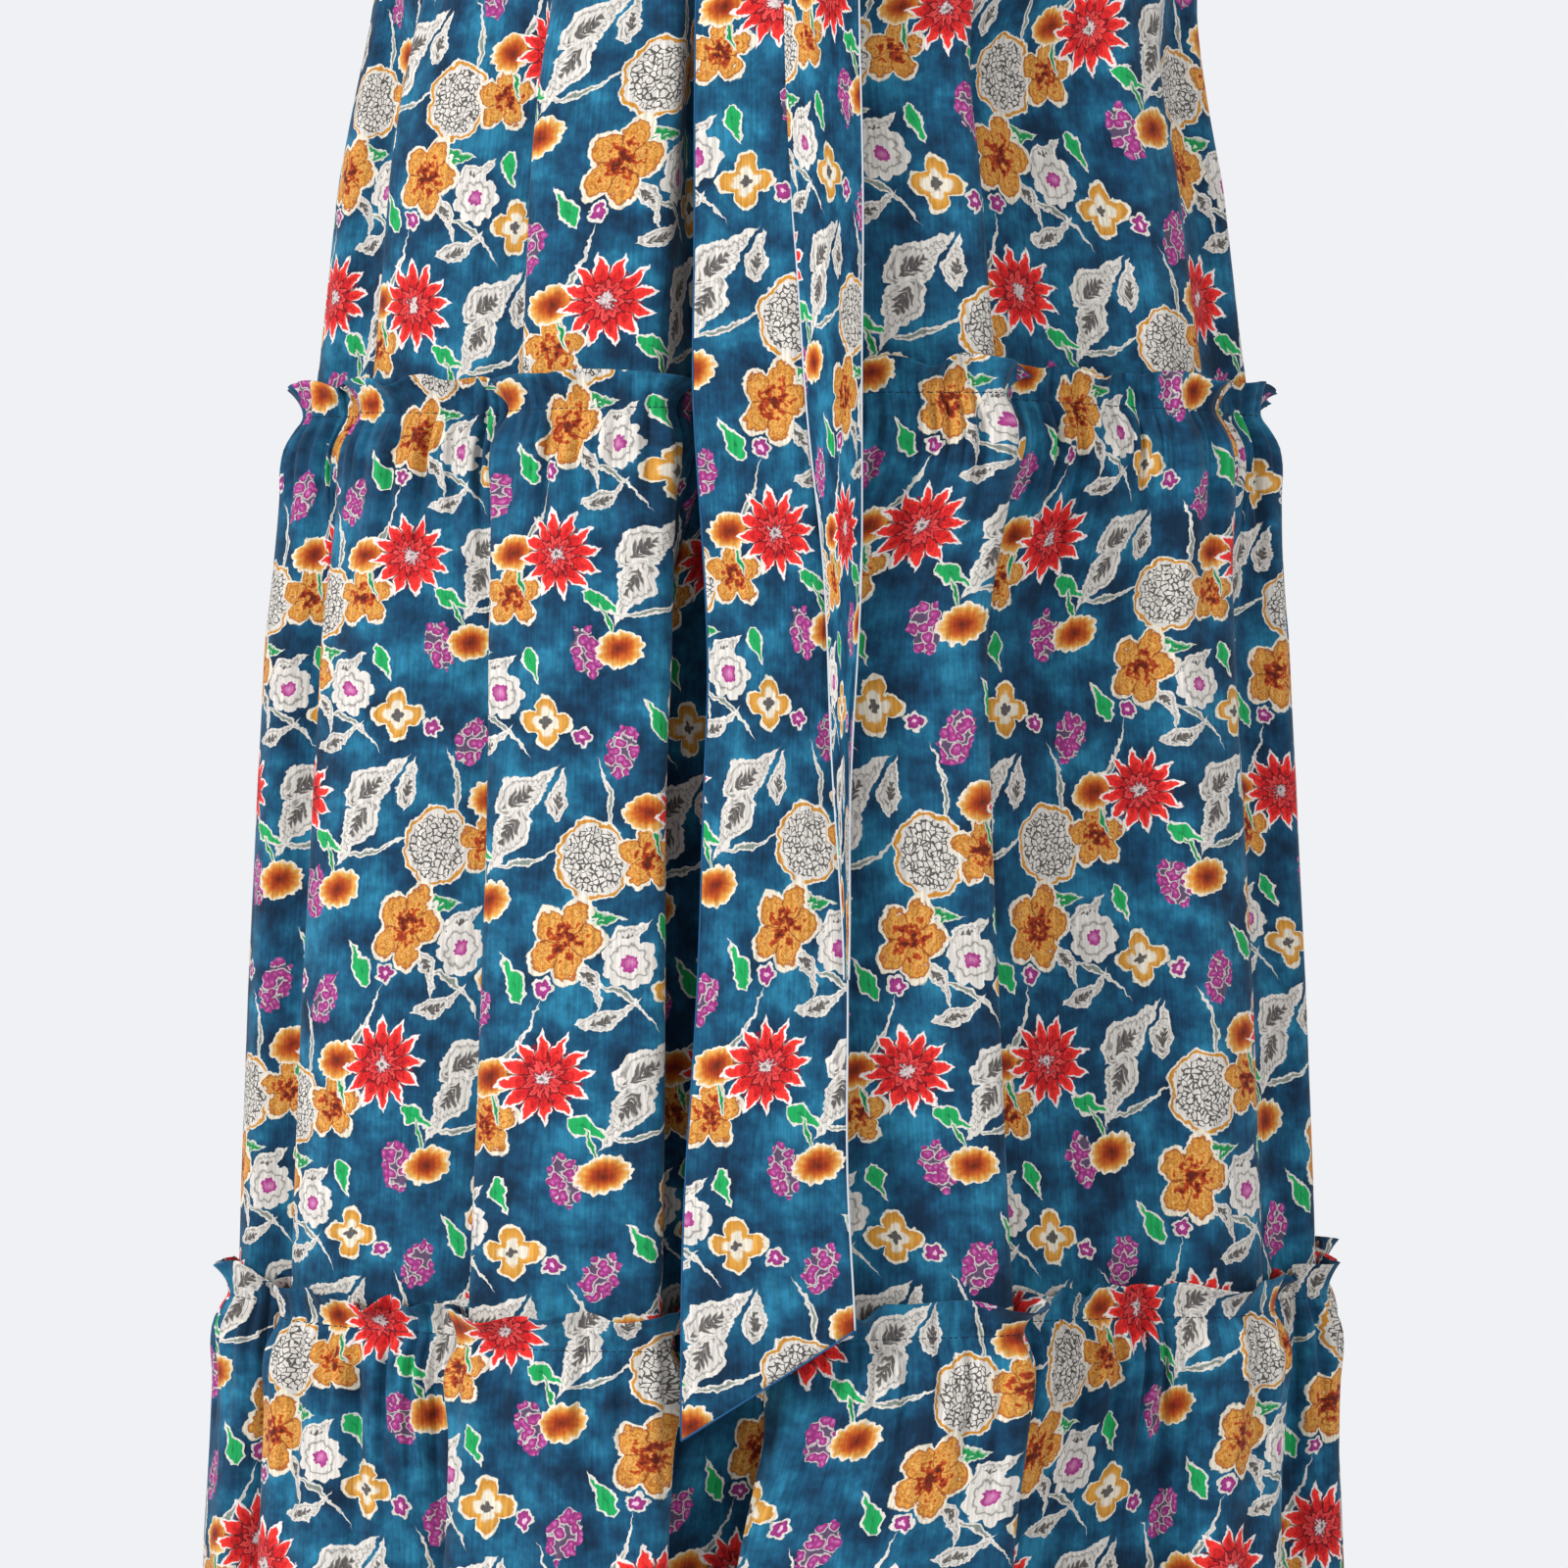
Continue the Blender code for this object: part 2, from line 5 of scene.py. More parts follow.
import bmesh
import bpy
import numpy as np
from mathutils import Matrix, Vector


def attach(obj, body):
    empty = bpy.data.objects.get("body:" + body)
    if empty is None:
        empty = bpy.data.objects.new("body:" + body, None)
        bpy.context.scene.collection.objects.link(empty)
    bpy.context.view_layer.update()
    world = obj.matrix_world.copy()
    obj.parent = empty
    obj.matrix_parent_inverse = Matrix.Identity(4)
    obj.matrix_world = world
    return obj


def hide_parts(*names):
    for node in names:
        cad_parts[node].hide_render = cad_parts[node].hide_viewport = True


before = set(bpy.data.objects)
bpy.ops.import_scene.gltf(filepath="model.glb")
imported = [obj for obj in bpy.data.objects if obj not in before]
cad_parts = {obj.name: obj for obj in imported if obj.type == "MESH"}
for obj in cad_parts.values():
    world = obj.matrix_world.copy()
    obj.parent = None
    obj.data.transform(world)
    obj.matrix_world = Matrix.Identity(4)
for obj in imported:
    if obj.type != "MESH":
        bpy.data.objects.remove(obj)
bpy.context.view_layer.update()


# The photographer's place: a camera level with the middle tier and 2.2 m in front of the dress, which
# takes in the skirt from a hand's width below the waist to the top of the lower tier.
VIEW_DISTANCE = 2.2
VIEW_HEIGHT = -0.874
VIEW_WIDTH = 0.752
VIEW_SIDE_STEP = 0.0014

view = bpy.data.cameras.new("view_of_the_skirt")
view.sensor_fit = "HORIZONTAL"
view.sensor_width = 36.0
view.lens = view.sensor_width * VIEW_DISTANCE / VIEW_WIDTH
view.clip_end = 30.0
camera = bpy.data.objects.new("view_of_the_skirt", view)
camera.location = (VIEW_SIDE_STEP, -VIEW_DISTANCE, VIEW_HEIGHT)
camera.rotation_euler = (math.radians(90), 0.0, 0.0)
bpy.context.scene.collection.objects.link(camera)
bpy.context.scene.camera = camera


# Printed crinkle chiffon: a light polyester weave of hard-twisted yarn that shrinks into fine upright
# ribs. The flowers and the mottled petrol ground are printed in one pass, on cloth that is white behind.
REPEAT_WIDTH = 120.0
REPEAT_HEIGHT = 115.0
REPEAT_SHIFT = 60.0


def linear(hex_colour):
    """A colour given as sRGB hex, as linear red, green, blue and alpha."""
    parts = [int(hex_colour[i : i + 2], 16) / 255 for i in (1, 3, 5)]
    return [c / 12.92 if c <= 0.04045 else ((c + 0.055) / 1.055) ** 2.4 for c in parts] + [1.0]


def put(tree, kind, *inputs, stops=(), **settings):
    """Adds a node: links or values in the order of its sockets, a ramp's stops, and other settings."""
    name, _, operation = kind.partition(" ")
    made = tree.nodes.new(name if "Node" in name else "ShaderNode" + name)
    if operation:
        made.operation = operation
    for key, value in settings.items():
        setattr(made, key, value)
    for socket, value in zip([s for s in made.inputs if s.enabled], inputs):
        if isinstance(value, bpy.types.Node):
            value = next(s for s in value.outputs if s.enabled)
        if isinstance(value, bpy.types.NodeSocket):
            tree.links.new(value, socket)
        elif value is not None:
            socket.default_value = linear(value) if isinstance(value, str) else value
    if stops:
        elements = made.color_ramp.elements
        elements[1].position = stops[-1][0]
        elements[0].position = stops[0][0]
        for place, *_ in stops[1:-1]:
            elements.new(place)
        for element, (_, colour, *alpha) in zip(elements, stops):
            element.color = linear(colour)[:3] + (alpha or [1.0])
    return made


def motif_place(tree, print_place, across, up, turn):
    """Coordinates in mm round the nearest of a motif's places in the half-drop repeat, turned by degrees."""
    start = (across / REPEAT_WIDTH - up * REPEAT_SHIFT / REPEAT_HEIGHT / REPEAT_WIDTH, up / REPEAT_HEIGHT, 0.0)
    near = put(tree, "VectorMath SUBTRACT", print_place, start)
    near = put(tree, "VectorMath WRAP", near, (0.5, 0.5, 0.5), (-0.5, -0.5, -0.5))
    c, s = math.cos(math.radians(turn)), math.sin(math.radians(turn))
    x = put(tree, "VectorMath DOT_PRODUCT", near, (REPEAT_WIDTH * c, REPEAT_SHIFT * c + REPEAT_HEIGHT * s, 0.0))
    y = put(tree, "VectorMath DOT_PRODUCT", near, (-REPEAT_WIDTH * s, REPEAT_HEIGHT * c - REPEAT_SHIFT * s, 0.0))
    return x, y


def painted(tree, under, ramp):
    """The colour under a motif, covered by its ramp's colour where that isn't clear."""
    return put(tree, "Mix", ramp.outputs["Alpha"], under, ramp.outputs["Color"], data_type="RGBA")


def flower(tree, under, place, petals, tip, notch, stops, squash=1.0, pointed=True, blotch=None):
    """A flower seen from above: the stops run from its middle to its edge and a little past it."""
    x, y = place
    if squash != 1.0:
        y = put(tree, "Math MULTIPLY", y, squash)
    far = put(tree, "VectorMath LENGTH", put(tree, "CombineXYZ", x, y))
    angle = put(tree, "Math ARCTAN2", y, x)
    if pointed:
        petal = put(tree, "Math PINGPONG", angle, math.pi / petals)
        reach = put(tree, "Math MULTIPLY_ADD", petal, (notch - tip) * petals / math.pi, tip)
    else:
        petal = put(tree, "Math COSINE", put(tree, "Math MULTIPLY", angle, petals / 2))
        petal = put(tree, "Math ABSOLUTE", petal)
        reach = put(tree, "Math MULTIPLY_ADD", petal, tip - notch, notch)
    edge = put(tree, "Math DIVIDE", far, reach)
    if blotch is not None:
        inner = put(tree, "Math SUBTRACT", 0.92, edge, use_clamp=True)
        edge = put(tree, "Math MULTIPLY_ADD", inner, blotch, edge)
    return painted(tree, under, put(tree, "ValToRGB", edge, stops=stops)), far, petal


def leaf(tree, under, place, length, width, bend, stops, stripe=0.0, widest=0.35):
    """A leaf or a stem along a bent line: the stops run from its midrib to its edge, 1 mm past it."""
    x, y = place
    if bend:
        bow = put(tree, "Math MULTIPLY_ADD", put(tree, "Math MULTIPLY", x, x), -bend, y)
        y = bow
    along = put(tree, "Math MULTIPLY_ADD", x, 1 / length, 0.5)
    half = put(tree, "ValToRGB", along, stops=[
        (0.0, "#000000"), (widest * 0.4, "#D0D0D0"), (widest, "#FFFFFF"), (0.72, "#A8A8A8"), (1.0, "#000000")])
    half.color_ramp.interpolation = "EASE"
    side = put(tree, "Math ABSOLUTE", y)
    inside = put(tree, "Math MULTIPLY_ADD", half, -width / 2, side)
    past = put(tree, "Math MULTIPLY_ADD", inside, 2 / width, 1.0)
    if stripe:
        vein = put(tree, "Math MULTIPLY_ADD", side, -1.2, x)
        vein = put(tree, "Math PINGPONG", vein, stripe)
        inner = put(tree, "Math MULTIPLY", vein, put(tree, "Math SUBTRACT", 1.0, past, use_clamp=True))
        one_side = put(tree, "Math MULTIPLY_ADD", y, -0.30 / width, past)
        past = put(tree, "Math MULTIPLY_ADD", inner, 0.42 / stripe, one_side)
    return painted(tree, under, put(tree, "ValToRGB", past, stops=stops))


WHITE_LEAF = [(0.0, "#DDD8D0"), (0.07, "#DDD8D0"), (0.12, "#4E4A48"), (0.46, "#6A6663"), (0.56, "#D6D1C9"),
              (0.72, "#D6D1C9"), (0.77, "#8A8682"), (0.83, "#DDD8D0"), (0.97, "#DDD8D0"), (1.0, "#DDD8D0", 0.0)]
GREEN_LEAF = [(0.0, "#0B7A3F"), (0.12, "#18A055"), (0.74, "#1FA85C"), (0.80, "#E0DDD3"), (0.97, "#E0DDD3"),
              (1.0, "#E0DDD3", 0.0)]


def print_colours(tree, flat_mm):
    """The printed colours of the cloth, from its flat coordinates in mm."""
    drift = put(tree, "TexNoise", flat_mm, 0.004, 0.0, noise_dimensions="2D").outputs["Color"]
    shaky = put(tree, "TexNoise", flat_mm, 0.16, 2.0, 0.6, noise_dimensions="2D").outputs["Color"]
    brush = put(tree, "TexNoise", flat_mm, 0.30, 2.0, 0.6, noise_dimensions="2D").outputs[0]
    brush = put(tree, "Math SUBTRACT", brush, 0.5)
    moved = put(tree, "VectorMath MULTIPLY_ADD", drift, (26.0, 26.0, 0.0), flat_mm)
    moved = put(tree, "VectorMath MULTIPLY_ADD", shaky, (4.2, 4.2, 0.0), moved)
    skew = REPEAT_SHIFT / REPEAT_HEIGHT / REPEAT_WIDTH
    print_place = put(tree, "CombineXYZ",
                      put(tree, "VectorMath DOT_PRODUCT", moved, (1 / REPEAT_WIDTH, -skew, 0.0)),
                      put(tree, "VectorMath DOT_PRODUCT", moved, (0.0, 1 / REPEAT_HEIGHT, 0.0)))

    mottle = put(tree, "TexNoise", flat_mm, 0.035, 4.0, 0.65, noise_dimensions="2D")
    colour = put(tree, "ValToRGB", mottle, stops=[
        (0.32, "#062A44"), (0.44, "#0C4060"), (0.55, "#145778"), (0.70, "#267A9C")])

    for across, up, turn, length, bend in ((48, 72, 60, 46, 0.010), (92, 92, -35, 40, -0.014),
                                           (20, 66, 100, 36, 0.012), (106, 34, 20, 40, 0.010)):
        colour = leaf(tree, colour, motif_place(tree, print_place, across, up, turn), length, 3.4, bend, [
            (0.0, "#7C8A80"), (0.45, "#8B9088"), (0.50, "#D9D5CC"), (0.97, "#D9D5CC"), (1.0, "#D9D5CC", 0.0)])

    for across, up, turn, length, width, bend in ((85, 84, 28, 30, 9, 0.020), (76, 98, -60, 26, 8, -0.024),
                                                  (118, 64, 80, 26, 11, 0.0), (30, 4, 35, 24, 11, 0.010)):
        place = motif_place(tree, print_place, across, up, turn)
        colour = leaf(tree, colour, place, length, width, bend, WHITE_LEAF, stripe=1.5)

    for across, up, turn, length, width in ((104, 64, 38, 40, 19), (92, 42, -118, 38, 17)):
        place = motif_place(tree, print_place, across, up, turn)
        colour = leaf(tree, colour, place, length, width, 0.004, WHITE_LEAF, stripe=1.9)

    for across, up, turn, length, width in ((80, 36, -25, 22, 10), (42, 100, 120, 24, 10), (46, 6, -70, 20, 9),
                                            (118, 6, 150, 22, 9)):
        place = motif_place(tree, print_place, across, up, turn)
        colour = leaf(tree, colour, place, length, width, 0.006, GREEN_LEAF)

    place = motif_place(tree, print_place, 14, 10, 8)
    colour = leaf(tree, colour, place, 30, 13, 0.0, [
        (0.0, "#178F4C"), (0.30, "#178F4C"), (0.34, "#E3E0D6"), (0.60, "#E3E0D6"), (0.64, "#178F4C"),
        (0.82, "#178F4C"), (0.97, "#E3E0D6"), (1.0, "#E3E0D6", 0.0)], stripe=2.2)

    cells = put(tree, "TexVoronoi", moved, 0.23, voronoi_dimensions="2D")
    colour_of_berry = put(tree, "ValToRGB", cells, stops=[
        (0.0, "#C77BAE"), (0.20, "#A83C86"), (0.45, "#8C2A70"), (0.52, "#D8CFCB"), (0.66, "#5D4A66")])
    for across, up, turn in ((26, 84, 70), (72, 14, 100)):
        x, y = motif_place(tree, print_place, across, up, turn)
        far = put(tree, "VectorMath LENGTH", put(tree, "CombineXYZ", put(tree, "Math MULTIPLY", x, 0.6), y))
        cluster = put(tree, "Math LESS_THAN", put(tree, "Math MULTIPLY_ADD", cells, 2.4, far), 8.0)
        colour = put(tree, "Mix", cluster, colour, colour_of_berry, data_type="RGBA")

    for across, up in ((56, 96), (8, 90)):
        colour, _, _ = flower(tree, colour, motif_place(tree, print_place, across, up, 0), 5, 5.0, 3.6, [
            (0.0, "#E9C2D6"), (0.22, "#E9C2D6"), (0.26, "#A83C86"), (0.70, "#8C2A70"), (0.76, "#D9D4CC"),
            (0.97, "#D9D4CC"), (1.0, "#D9D4CC", 0.0)], pointed=False)

    net = put(tree, "TexVoronoi", moved, 0.42, voronoi_dimensions="2D", feature="DISTANCE_TO_EDGE")
    x, y = motif_place(tree, print_place, 13, 36, 0)
    place = (x, put(tree, "Math MULTIPLY", y, 0.9))
    colour, _, _ = flower(tree, colour, place, 7, 17.0, 15.5, [
        (0.0, "#D8D3CB"), (0.86, "#D8D3CB"), (0.88, "#C98A2E"), (0.94, "#C98A2E"), (0.95, "#E3DED4"),
        (0.98, "#E3DED4"), (1.0, "#E3DED4", 0.0)], pointed=False)
    head = put(tree, "Math LESS_THAN", put(tree, "VectorMath LENGTH", put(tree, "CombineXYZ", *place)), 13.0)
    thread = put(tree, "Math LESS_THAN", put(tree, "Math MULTIPLY_ADD", brush, 0.35, net), 0.12)
    colour = put(tree, "Mix", put(tree, "Math MULTIPLY", head, thread), colour, "#5A5653", data_type="RGBA")

    wide_blotch = put(tree, "Math MULTIPLY", brush, 3.0)
    golden = [(0.0, "#5E1E0E"), (0.18, "#9E3517"), (0.34, "#B4481C"), (0.44, "#CE8A38"), (0.58, "#E2AC5A"),
              (0.66, "#B5651D"), (0.74, "#DDA048"), (0.86, "#A8571C"), (0.89, "#E6DDC9"), (0.97, "#E6DDC9"),
              (1.0, "#E6DDC9", 0.0)]
    for across, up, turn, petals, tip, notch, squash in ((37, 38, 20, 5, 16.0, 9.5, 1.0),
                                                         (63, 116, 70, 5, 21.0, 14.0, 1.25)):
        place = motif_place(tree, print_place, across, up, turn)
        colour, far, petal = flower(tree, colour, place, petals, tip, notch, golden, squash, False, wide_blotch)
        ink = put(tree, "Math LESS_THAN", petal, 0.13)
        ink = put(tree, "Math MULTIPLY", ink, put(tree, "Math LESS_THAN", far, notch * 0.85))
        colour = put(tree, "Mix", put(tree, "Math MULTIPLY", ink, 0.75), colour, "#8A3312", data_type="RGBA")

    place = motif_place(tree, print_place, 112, 96, 0)
    colour, far, petal = flower(tree, colour, place, 4, 13.0, 7.0, [
        (0.0, "#5E5A58"), (0.20, "#5E5A58"), (0.24, "#E6DDC9"), (0.46, "#E6DDC9"), (0.56, "#D9A04A"),
        (0.84, "#C98A2E"), (0.88, "#E6DDC9"), (0.97, "#E6DDC9"), (1.0, "#E6DDC9", 0.0)], pointed=False)

    place = motif_place(tree, print_place, 90, 108, 0)
    colour, far, petal = flower(tree, colour, place, 9, 12.0, 10.0, [
        (0.0, "#D98AB8"), (0.24, "#A83C86"), (0.30, "#A83C86"), (0.33, "#E0DBD3"), (0.55, "#DAD5CD"),
        (0.62, "#8A8682"), (0.70, "#DAD5CD"), (0.97, "#E0DBD3"), (1.0, "#E0DBD3", 0.0)], pointed=False)

    fan = [(0.0, "#5E1F0D"), (0.30, "#9C3413"), (0.55, "#C4621F"), (0.80, "#E0A850"), (0.93, "#EDE3CE"),
           (0.97, "#EDE3CE"), (1.0, "#EDE3CE", 0.0)]
    for across, up, turn in ((36, 62, 15), (88, 12, 200)):
        x, y = motif_place(tree, print_place, across, up, turn)
        stem = (put(tree, "Math ADD", y, 14.0), x)
        colour = leaf(tree, colour, stem, 26, 3.2, 0.006, [
            (0.0, "#17803F"), (0.50, "#1F9F56"), (0.62, "#D9D5CC"), (0.97, "#D9D5CC"), (1.0, "#D9D5CC", 0.0)])
        low = put(tree, "Math ADD", y, 4.0)
        colour, _, _ = flower(tree, colour, (x, low), 13, 12.0, 10.8, fan, squash=1.35, pointed=False)

    place = motif_place(tree, print_place, 60, 58, 8)
    colour, far, petal = flower(tree, colour, place, 12, 21.5, 12.5, [
        (0.0, "#7E101C"), (0.35, "#A8141E"), (0.48, "#DC2222"), (0.60, "#B4161E"), (0.68, "#EC2C28"),
        (0.86, "#F03A32"), (0.89, "#EFE6E2"), (0.97, "#EFE6E2"), (1.0, "#EFE6E2", 0.0)],
        blotch=put(tree, "Math MULTIPLY", brush, 1.6))
    rim = put(tree, "Math MULTIPLY_ADD", petal, -1.0, math.pi / 12)
    cut = put(tree, "Math LESS_THAN", put(tree, "Math MULTIPLY", rim, far), 0.55)
    cut = put(tree, "Math MULTIPLY", cut, put(tree, "Math LESS_THAN", far, 15.0))
    colour = put(tree, "Mix", put(tree, "Math MULTIPLY", cut, 0.8), colour, "#7A0C16", data_type="RGBA")
    inner = put(tree, "Math MULTIPLY_ADD", rim, -18.0, 11.0)
    heart = put(tree, "Math MULTIPLY_ADD", brush, 0.7, put(tree, "Math DIVIDE", far, inner))
    return painted(tree, colour, put(tree, "ValToRGB", heart, stops=[
        (0.0, "#6E6664"), (0.16, "#DED4D0"), (0.30, "#C9A0A4"), (0.38, "#5E121C"), (0.50, "#C8222A"),
        (0.74, "#E8504C"), (0.84, "#7A0C16"), (0.97, "#7A0C16"), (1.0, "#7A0C16", 0.0)]))


def printed_chiffon(name, shift):
    material = bpy.data.materials.new(name)
    material.use_nodes = True
    tree = material.node_tree
    tree.nodes.clear()
    flat = put(tree, "UVMap", uv_map="flat_cloth")
    flat_mm = put(tree, "VectorMath MULTIPLY_ADD", flat, (1000.0, 1000.0, 0.0), (*shift, 0.0))
    colour = print_colours(tree, flat_mm)
    stretched = put(tree, "VectorMath MULTIPLY", flat_mm, (0.75, 0.05, 0.0))
    ribs = put(tree, "TexNoise", stretched, 1.0, 2.0, 0.6, noise_dimensions="2D")
    # Painted shade: the colour darkens in the ribs' hollows, following the same noise as the bump, and the whole
    # print is dimmed to about two thirds.
    rib_hollow_shade = put(tree, "Math MULTIPLY_ADD", ribs, 0.62, 0.33)
    colour = put(tree, "VectorMath SCALE", colour, rib_hollow_shade)
    bumps = put(tree, "Bump", 0.35, 0.0006)
    tree.links.new(ribs.outputs[0], bumps.inputs["Height"])
    cloth = put(tree, "BsdfPrincipled", colour)
    cloth.inputs["Roughness"].default_value = 0.85
    cloth.inputs["Specular IOR Level"].default_value = 0.15
    cloth.inputs["Sheen Weight"].default_value = 0.05
    tree.links.new(bumps.outputs[0], cloth.inputs["Normal"])
    put(tree, "OutputMaterial", cloth)
    return material


chiffon = printed_chiffon("crinkle_chiffon_print", (0.0, 0.0))


# The skirt's three tiers, each a front and a back panel gathered onto the one above with a frilled
# heading left standing over the stitching. The deep folds run through all the tiers as they hang.
WAIST_Z = -0.400
UPPER_SEAM_Z = -0.700
LOWER_SEAM_Z = -1.112
HEM_Z = -1.400
SEAM_GAP = 0.0003
ALLOWANCE = 0.007
HEADING = 0.0165
CLOTH_THICKNESS = 0.0004
SEAM_LIFT = 0.0022
FRONT_COLUMNS = 860
BACK_COLUMNS = 480
FOLD_STEPS = 2400
FOLD_SOFTNESS = 0.0050
UPPER_CLOTH = 1.46
MIDDLE_CLOTH = 1.90
LOWER_CLOTH = 2.30
FRONT = -1
BACK = 1

SKIRT_PLAN = [
    # z, half_width, half_depth
    (-0.400, 0.137, 0.100),
    (-0.424, 0.139, 0.102),
    (-0.450, 0.168, 0.122),
    (-0.500, 0.1975, 0.143),
    (-0.592, 0.2175, 0.157),
    (-0.660, 0.2250, 0.163),
    (-0.700, 0.2300, 0.167),
    (-0.745, 0.2390, 0.174),
    (-0.800, 0.2465, 0.181),
    (-0.874, 0.2530, 0.187),
    (-0.970, 0.2580, 0.193),
    (-1.060, 0.2615, 0.197),
    (-1.112, 0.2630, 0.199),
    (-1.160, 0.2675, 0.206),
    (-1.250, 0.2745, 0.216),
    (-1.400, 0.2850, 0.230),
]
SIDE_LEAN = 0.0045
BAND_LINE = SKIRT_PLAN[1]
FRONT_FOLDS = [
    # run_mm, lean_deg: from the left side seam to the right one
    (20, 0), (22, 60), (25, 0), (22, -60), (48, -3), (30, 105),
    (22, 5), (58, -14), (25, -5), (27, 105),
    (38, 5), (36, -5), (44, -108), (56, -2), (32, 100),
    (44, 5), (44, 1), (36, -106), (46, -4), (46, 8),
    (22, 50), (30, 0), (28, -45), (20, 0), (22, 45), (22, -40), (40, 0),
]
BACK_FOLDS = [
    # run_mm, lean_deg: from the right side seam to the left one
    (24, 0), (24, 55), (34, 0), (24, -55), (40, 0), (34, 98),
    (60, 0), (34, -98), (44, 2), (28, 78), (40, -3), (30, -75),
    (52, 0), (36, 102), (66, -2), (34, -100), (38, -2), (34, 95),
    (56, 0), (34, -95), (30, 0), (22, 50), (24, 0), (22, -50), (26, 0),
]
FRONT_DROOP = [
    # share_of_half_ring, drop_m
    (0.00, 0.000),
    (0.15, 0.004),
    (0.30, 0.009),
    (0.48, 0.009),
    (0.56, 0.002),
    (0.66, 0.001),
    (0.80, 0.003),
    (1.00, 0.000),
]


def column(table, index, z):
    """One column of a table whose first column is z, read at height z."""
    rows = sorted(table)
    return float(np.interp(z, [row[0] for row in rows], [row[index] for row in rows]))


def smooth_step(x):
    x = np.clip(x, 0.0, 1.0)
    return x * x * (3 - 2 * x)


def ring_length(half_width, half_depth):
    """The perimeter of an ellipse, by Ramanujan's formula."""
    a, b = half_width, half_depth
    return math.pi * (3 * (a + b) - math.sqrt((3 * a + b) * (a + 3 * b)))


def cloth_between_gathers(z):
    """How much of the cloth's width is left at height z once the small gathers have taken theirs up."""
    if z > BAND_LINE[0]:
        return ring_length(column(SKIRT_PLAN, 1, z), column(SKIRT_PLAN, 2, z))
    if z > UPPER_SEAM_Z:
        start, full, top, fade = ring_length(*BAND_LINE[1:]), UPPER_CLOTH, BAND_LINE[0], 0.15
    elif z > LOWER_SEAM_Z:
        start, full, top, fade = UPPER_CLOTH, MIDDLE_CLOTH, UPPER_SEAM_Z, 0.12
    else:
        start, full, top, fade = MIDDLE_CLOTH, LOWER_CLOTH, LOWER_SEAM_Z, 0.12
    return start + (full - start) * float(smooth_step((top - z) / fade))


def lean_along(folds):
    """The cloth's lean in radians at even steps along a half tier, with the fold edges rounded."""
    runs = np.array([run for run, _ in folds], float)
    leans = np.radians([lean for _, lean in folds])
    ends = np.cumsum(runs) / runs.sum()
    raw = leans[np.searchsorted(ends, (np.arange(FOLD_STEPS) + 0.5) / FOLD_STEPS)]
    spread = FOLD_SOFTNESS / (MIDDLE_CLOTH / 2) * FOLD_STEPS
    reach = int(3 * spread)
    kernel = np.exp(-0.5 * (np.arange(-reach, reach + 1) / spread) ** 2)
    return np.convolve(np.pad(raw, reach), kernel / kernel.sum(), "valid")


LEANS = {FRONT: lean_along(FRONT_FOLDS), BACK: lean_along(BACK_FOLDS)}


def fold_strength(lean, share):
    """The factor on the leans at which the folded cloth spans this share of its own width."""
    low, high = 0.0, 1.25
    for _ in range(24):
        middle = (low + high) / 2
        if np.cos(lean * middle).mean() > share:
            low = middle
        else:
            high = middle
    return low


def folded_half(side, z):
    """The folded line of a half tier at height z: shares of the half ring, and how far out it lies."""
    half_ring = ring_length(column(SKIRT_PLAN, 1, z), column(SKIRT_PLAN, 2, z)) / 2
    cloth = cloth_between_gathers(z) / 2
    angle = LEANS[side] * fold_strength(LEANS[side], min(1.0, half_ring / cloth))
    along = np.concatenate([[0.0], np.cumsum(np.cos(angle))]) * cloth / FOLD_STEPS
    out = np.concatenate([[0.0], np.cumsum(np.sin(angle))]) * cloth / FOLD_STEPS
    out -= out[-1] * np.linspace(0, 1, len(out))
    return along / along[-1], out


def fold_line(side, z, at):
    """The folded cloth's line in plan at height z, at shares of the cloth: x, y and ring shares."""
    level = sum(folded_half(s, z)[1].mean() for s in (FRONT, BACK)) / 2
    along, out = folded_half(side, z)
    cloth = np.linspace(0, 1, len(out))
    share = np.interp(at, cloth, along)
    share = share + 0.0035 * np.sin(math.pi * share) * np.sin(9 * z + 11 * share)
    out = np.interp(at, cloth, out) - level
    half_width, half_depth = column(SKIRT_PLAN, 1, z), column(SKIRT_PLAN, 2, z)
    angle = np.linspace(-math.pi / 2, math.pi / 2, 400)
    x, y = half_width * np.sin(angle), half_depth * np.cos(angle)
    length = np.concatenate([[0.0], np.cumsum(np.hypot(np.diff(x), np.diff(y)))])
    turn = np.interp(share, length / length[-1], angle)
    x, y = half_width * np.sin(turn), half_depth * np.cos(turn)
    size = np.hypot(x / half_width**2, y / half_depth**2)
    x, y = x + out * x / half_width**2 / size, y + out * y / half_depth**2 / size
    x = x if side == FRONT else -x
    return x + SIDE_LEAN * (x / half_width) ** 2 * float(smooth_step((BAND_LINE[0] - z) / 0.08)), side * y, share


def droop(side, share, z):
    """How much lower the front hangs at a share of the half ring than at the side seams."""
    if side == BACK:
        return np.zeros(len(share))
    here = column([(WAIST_Z, 0.0), (UPPER_SEAM_Z, 1.0), (LOWER_SEAM_Z, 0.6), (HEM_Z, 0.3)], 1, z)
    return here * np.interp(share, [row[0] for row in FRONT_DROOP], [row[1] for row in FRONT_DROOP])


def uneven_wave(seed, at, cloth, wavelength, wander=2.4):
    """A wave along the cloth with this mean wavelength whose phase and height wander, from -1 to 1."""
    rng = np.random.default_rng(seed)
    knots = max(6, int(cloth / wavelength / 2))
    place = np.linspace(0, 1, knots)
    phase = np.interp(at, place, rng.uniform(-wander, wander, knots))
    height = np.interp(at, place, rng.uniform(0.35, 1.0, knots))
    return height * np.sin(2 * math.pi * at * cloth / wavelength + phase)


def ridged(wave):
    """Turns a wave's valleys narrow and its crests broad, as gathered cloth has them."""
    return 1 - 2 * ((1 - wave) / 2) ** 3


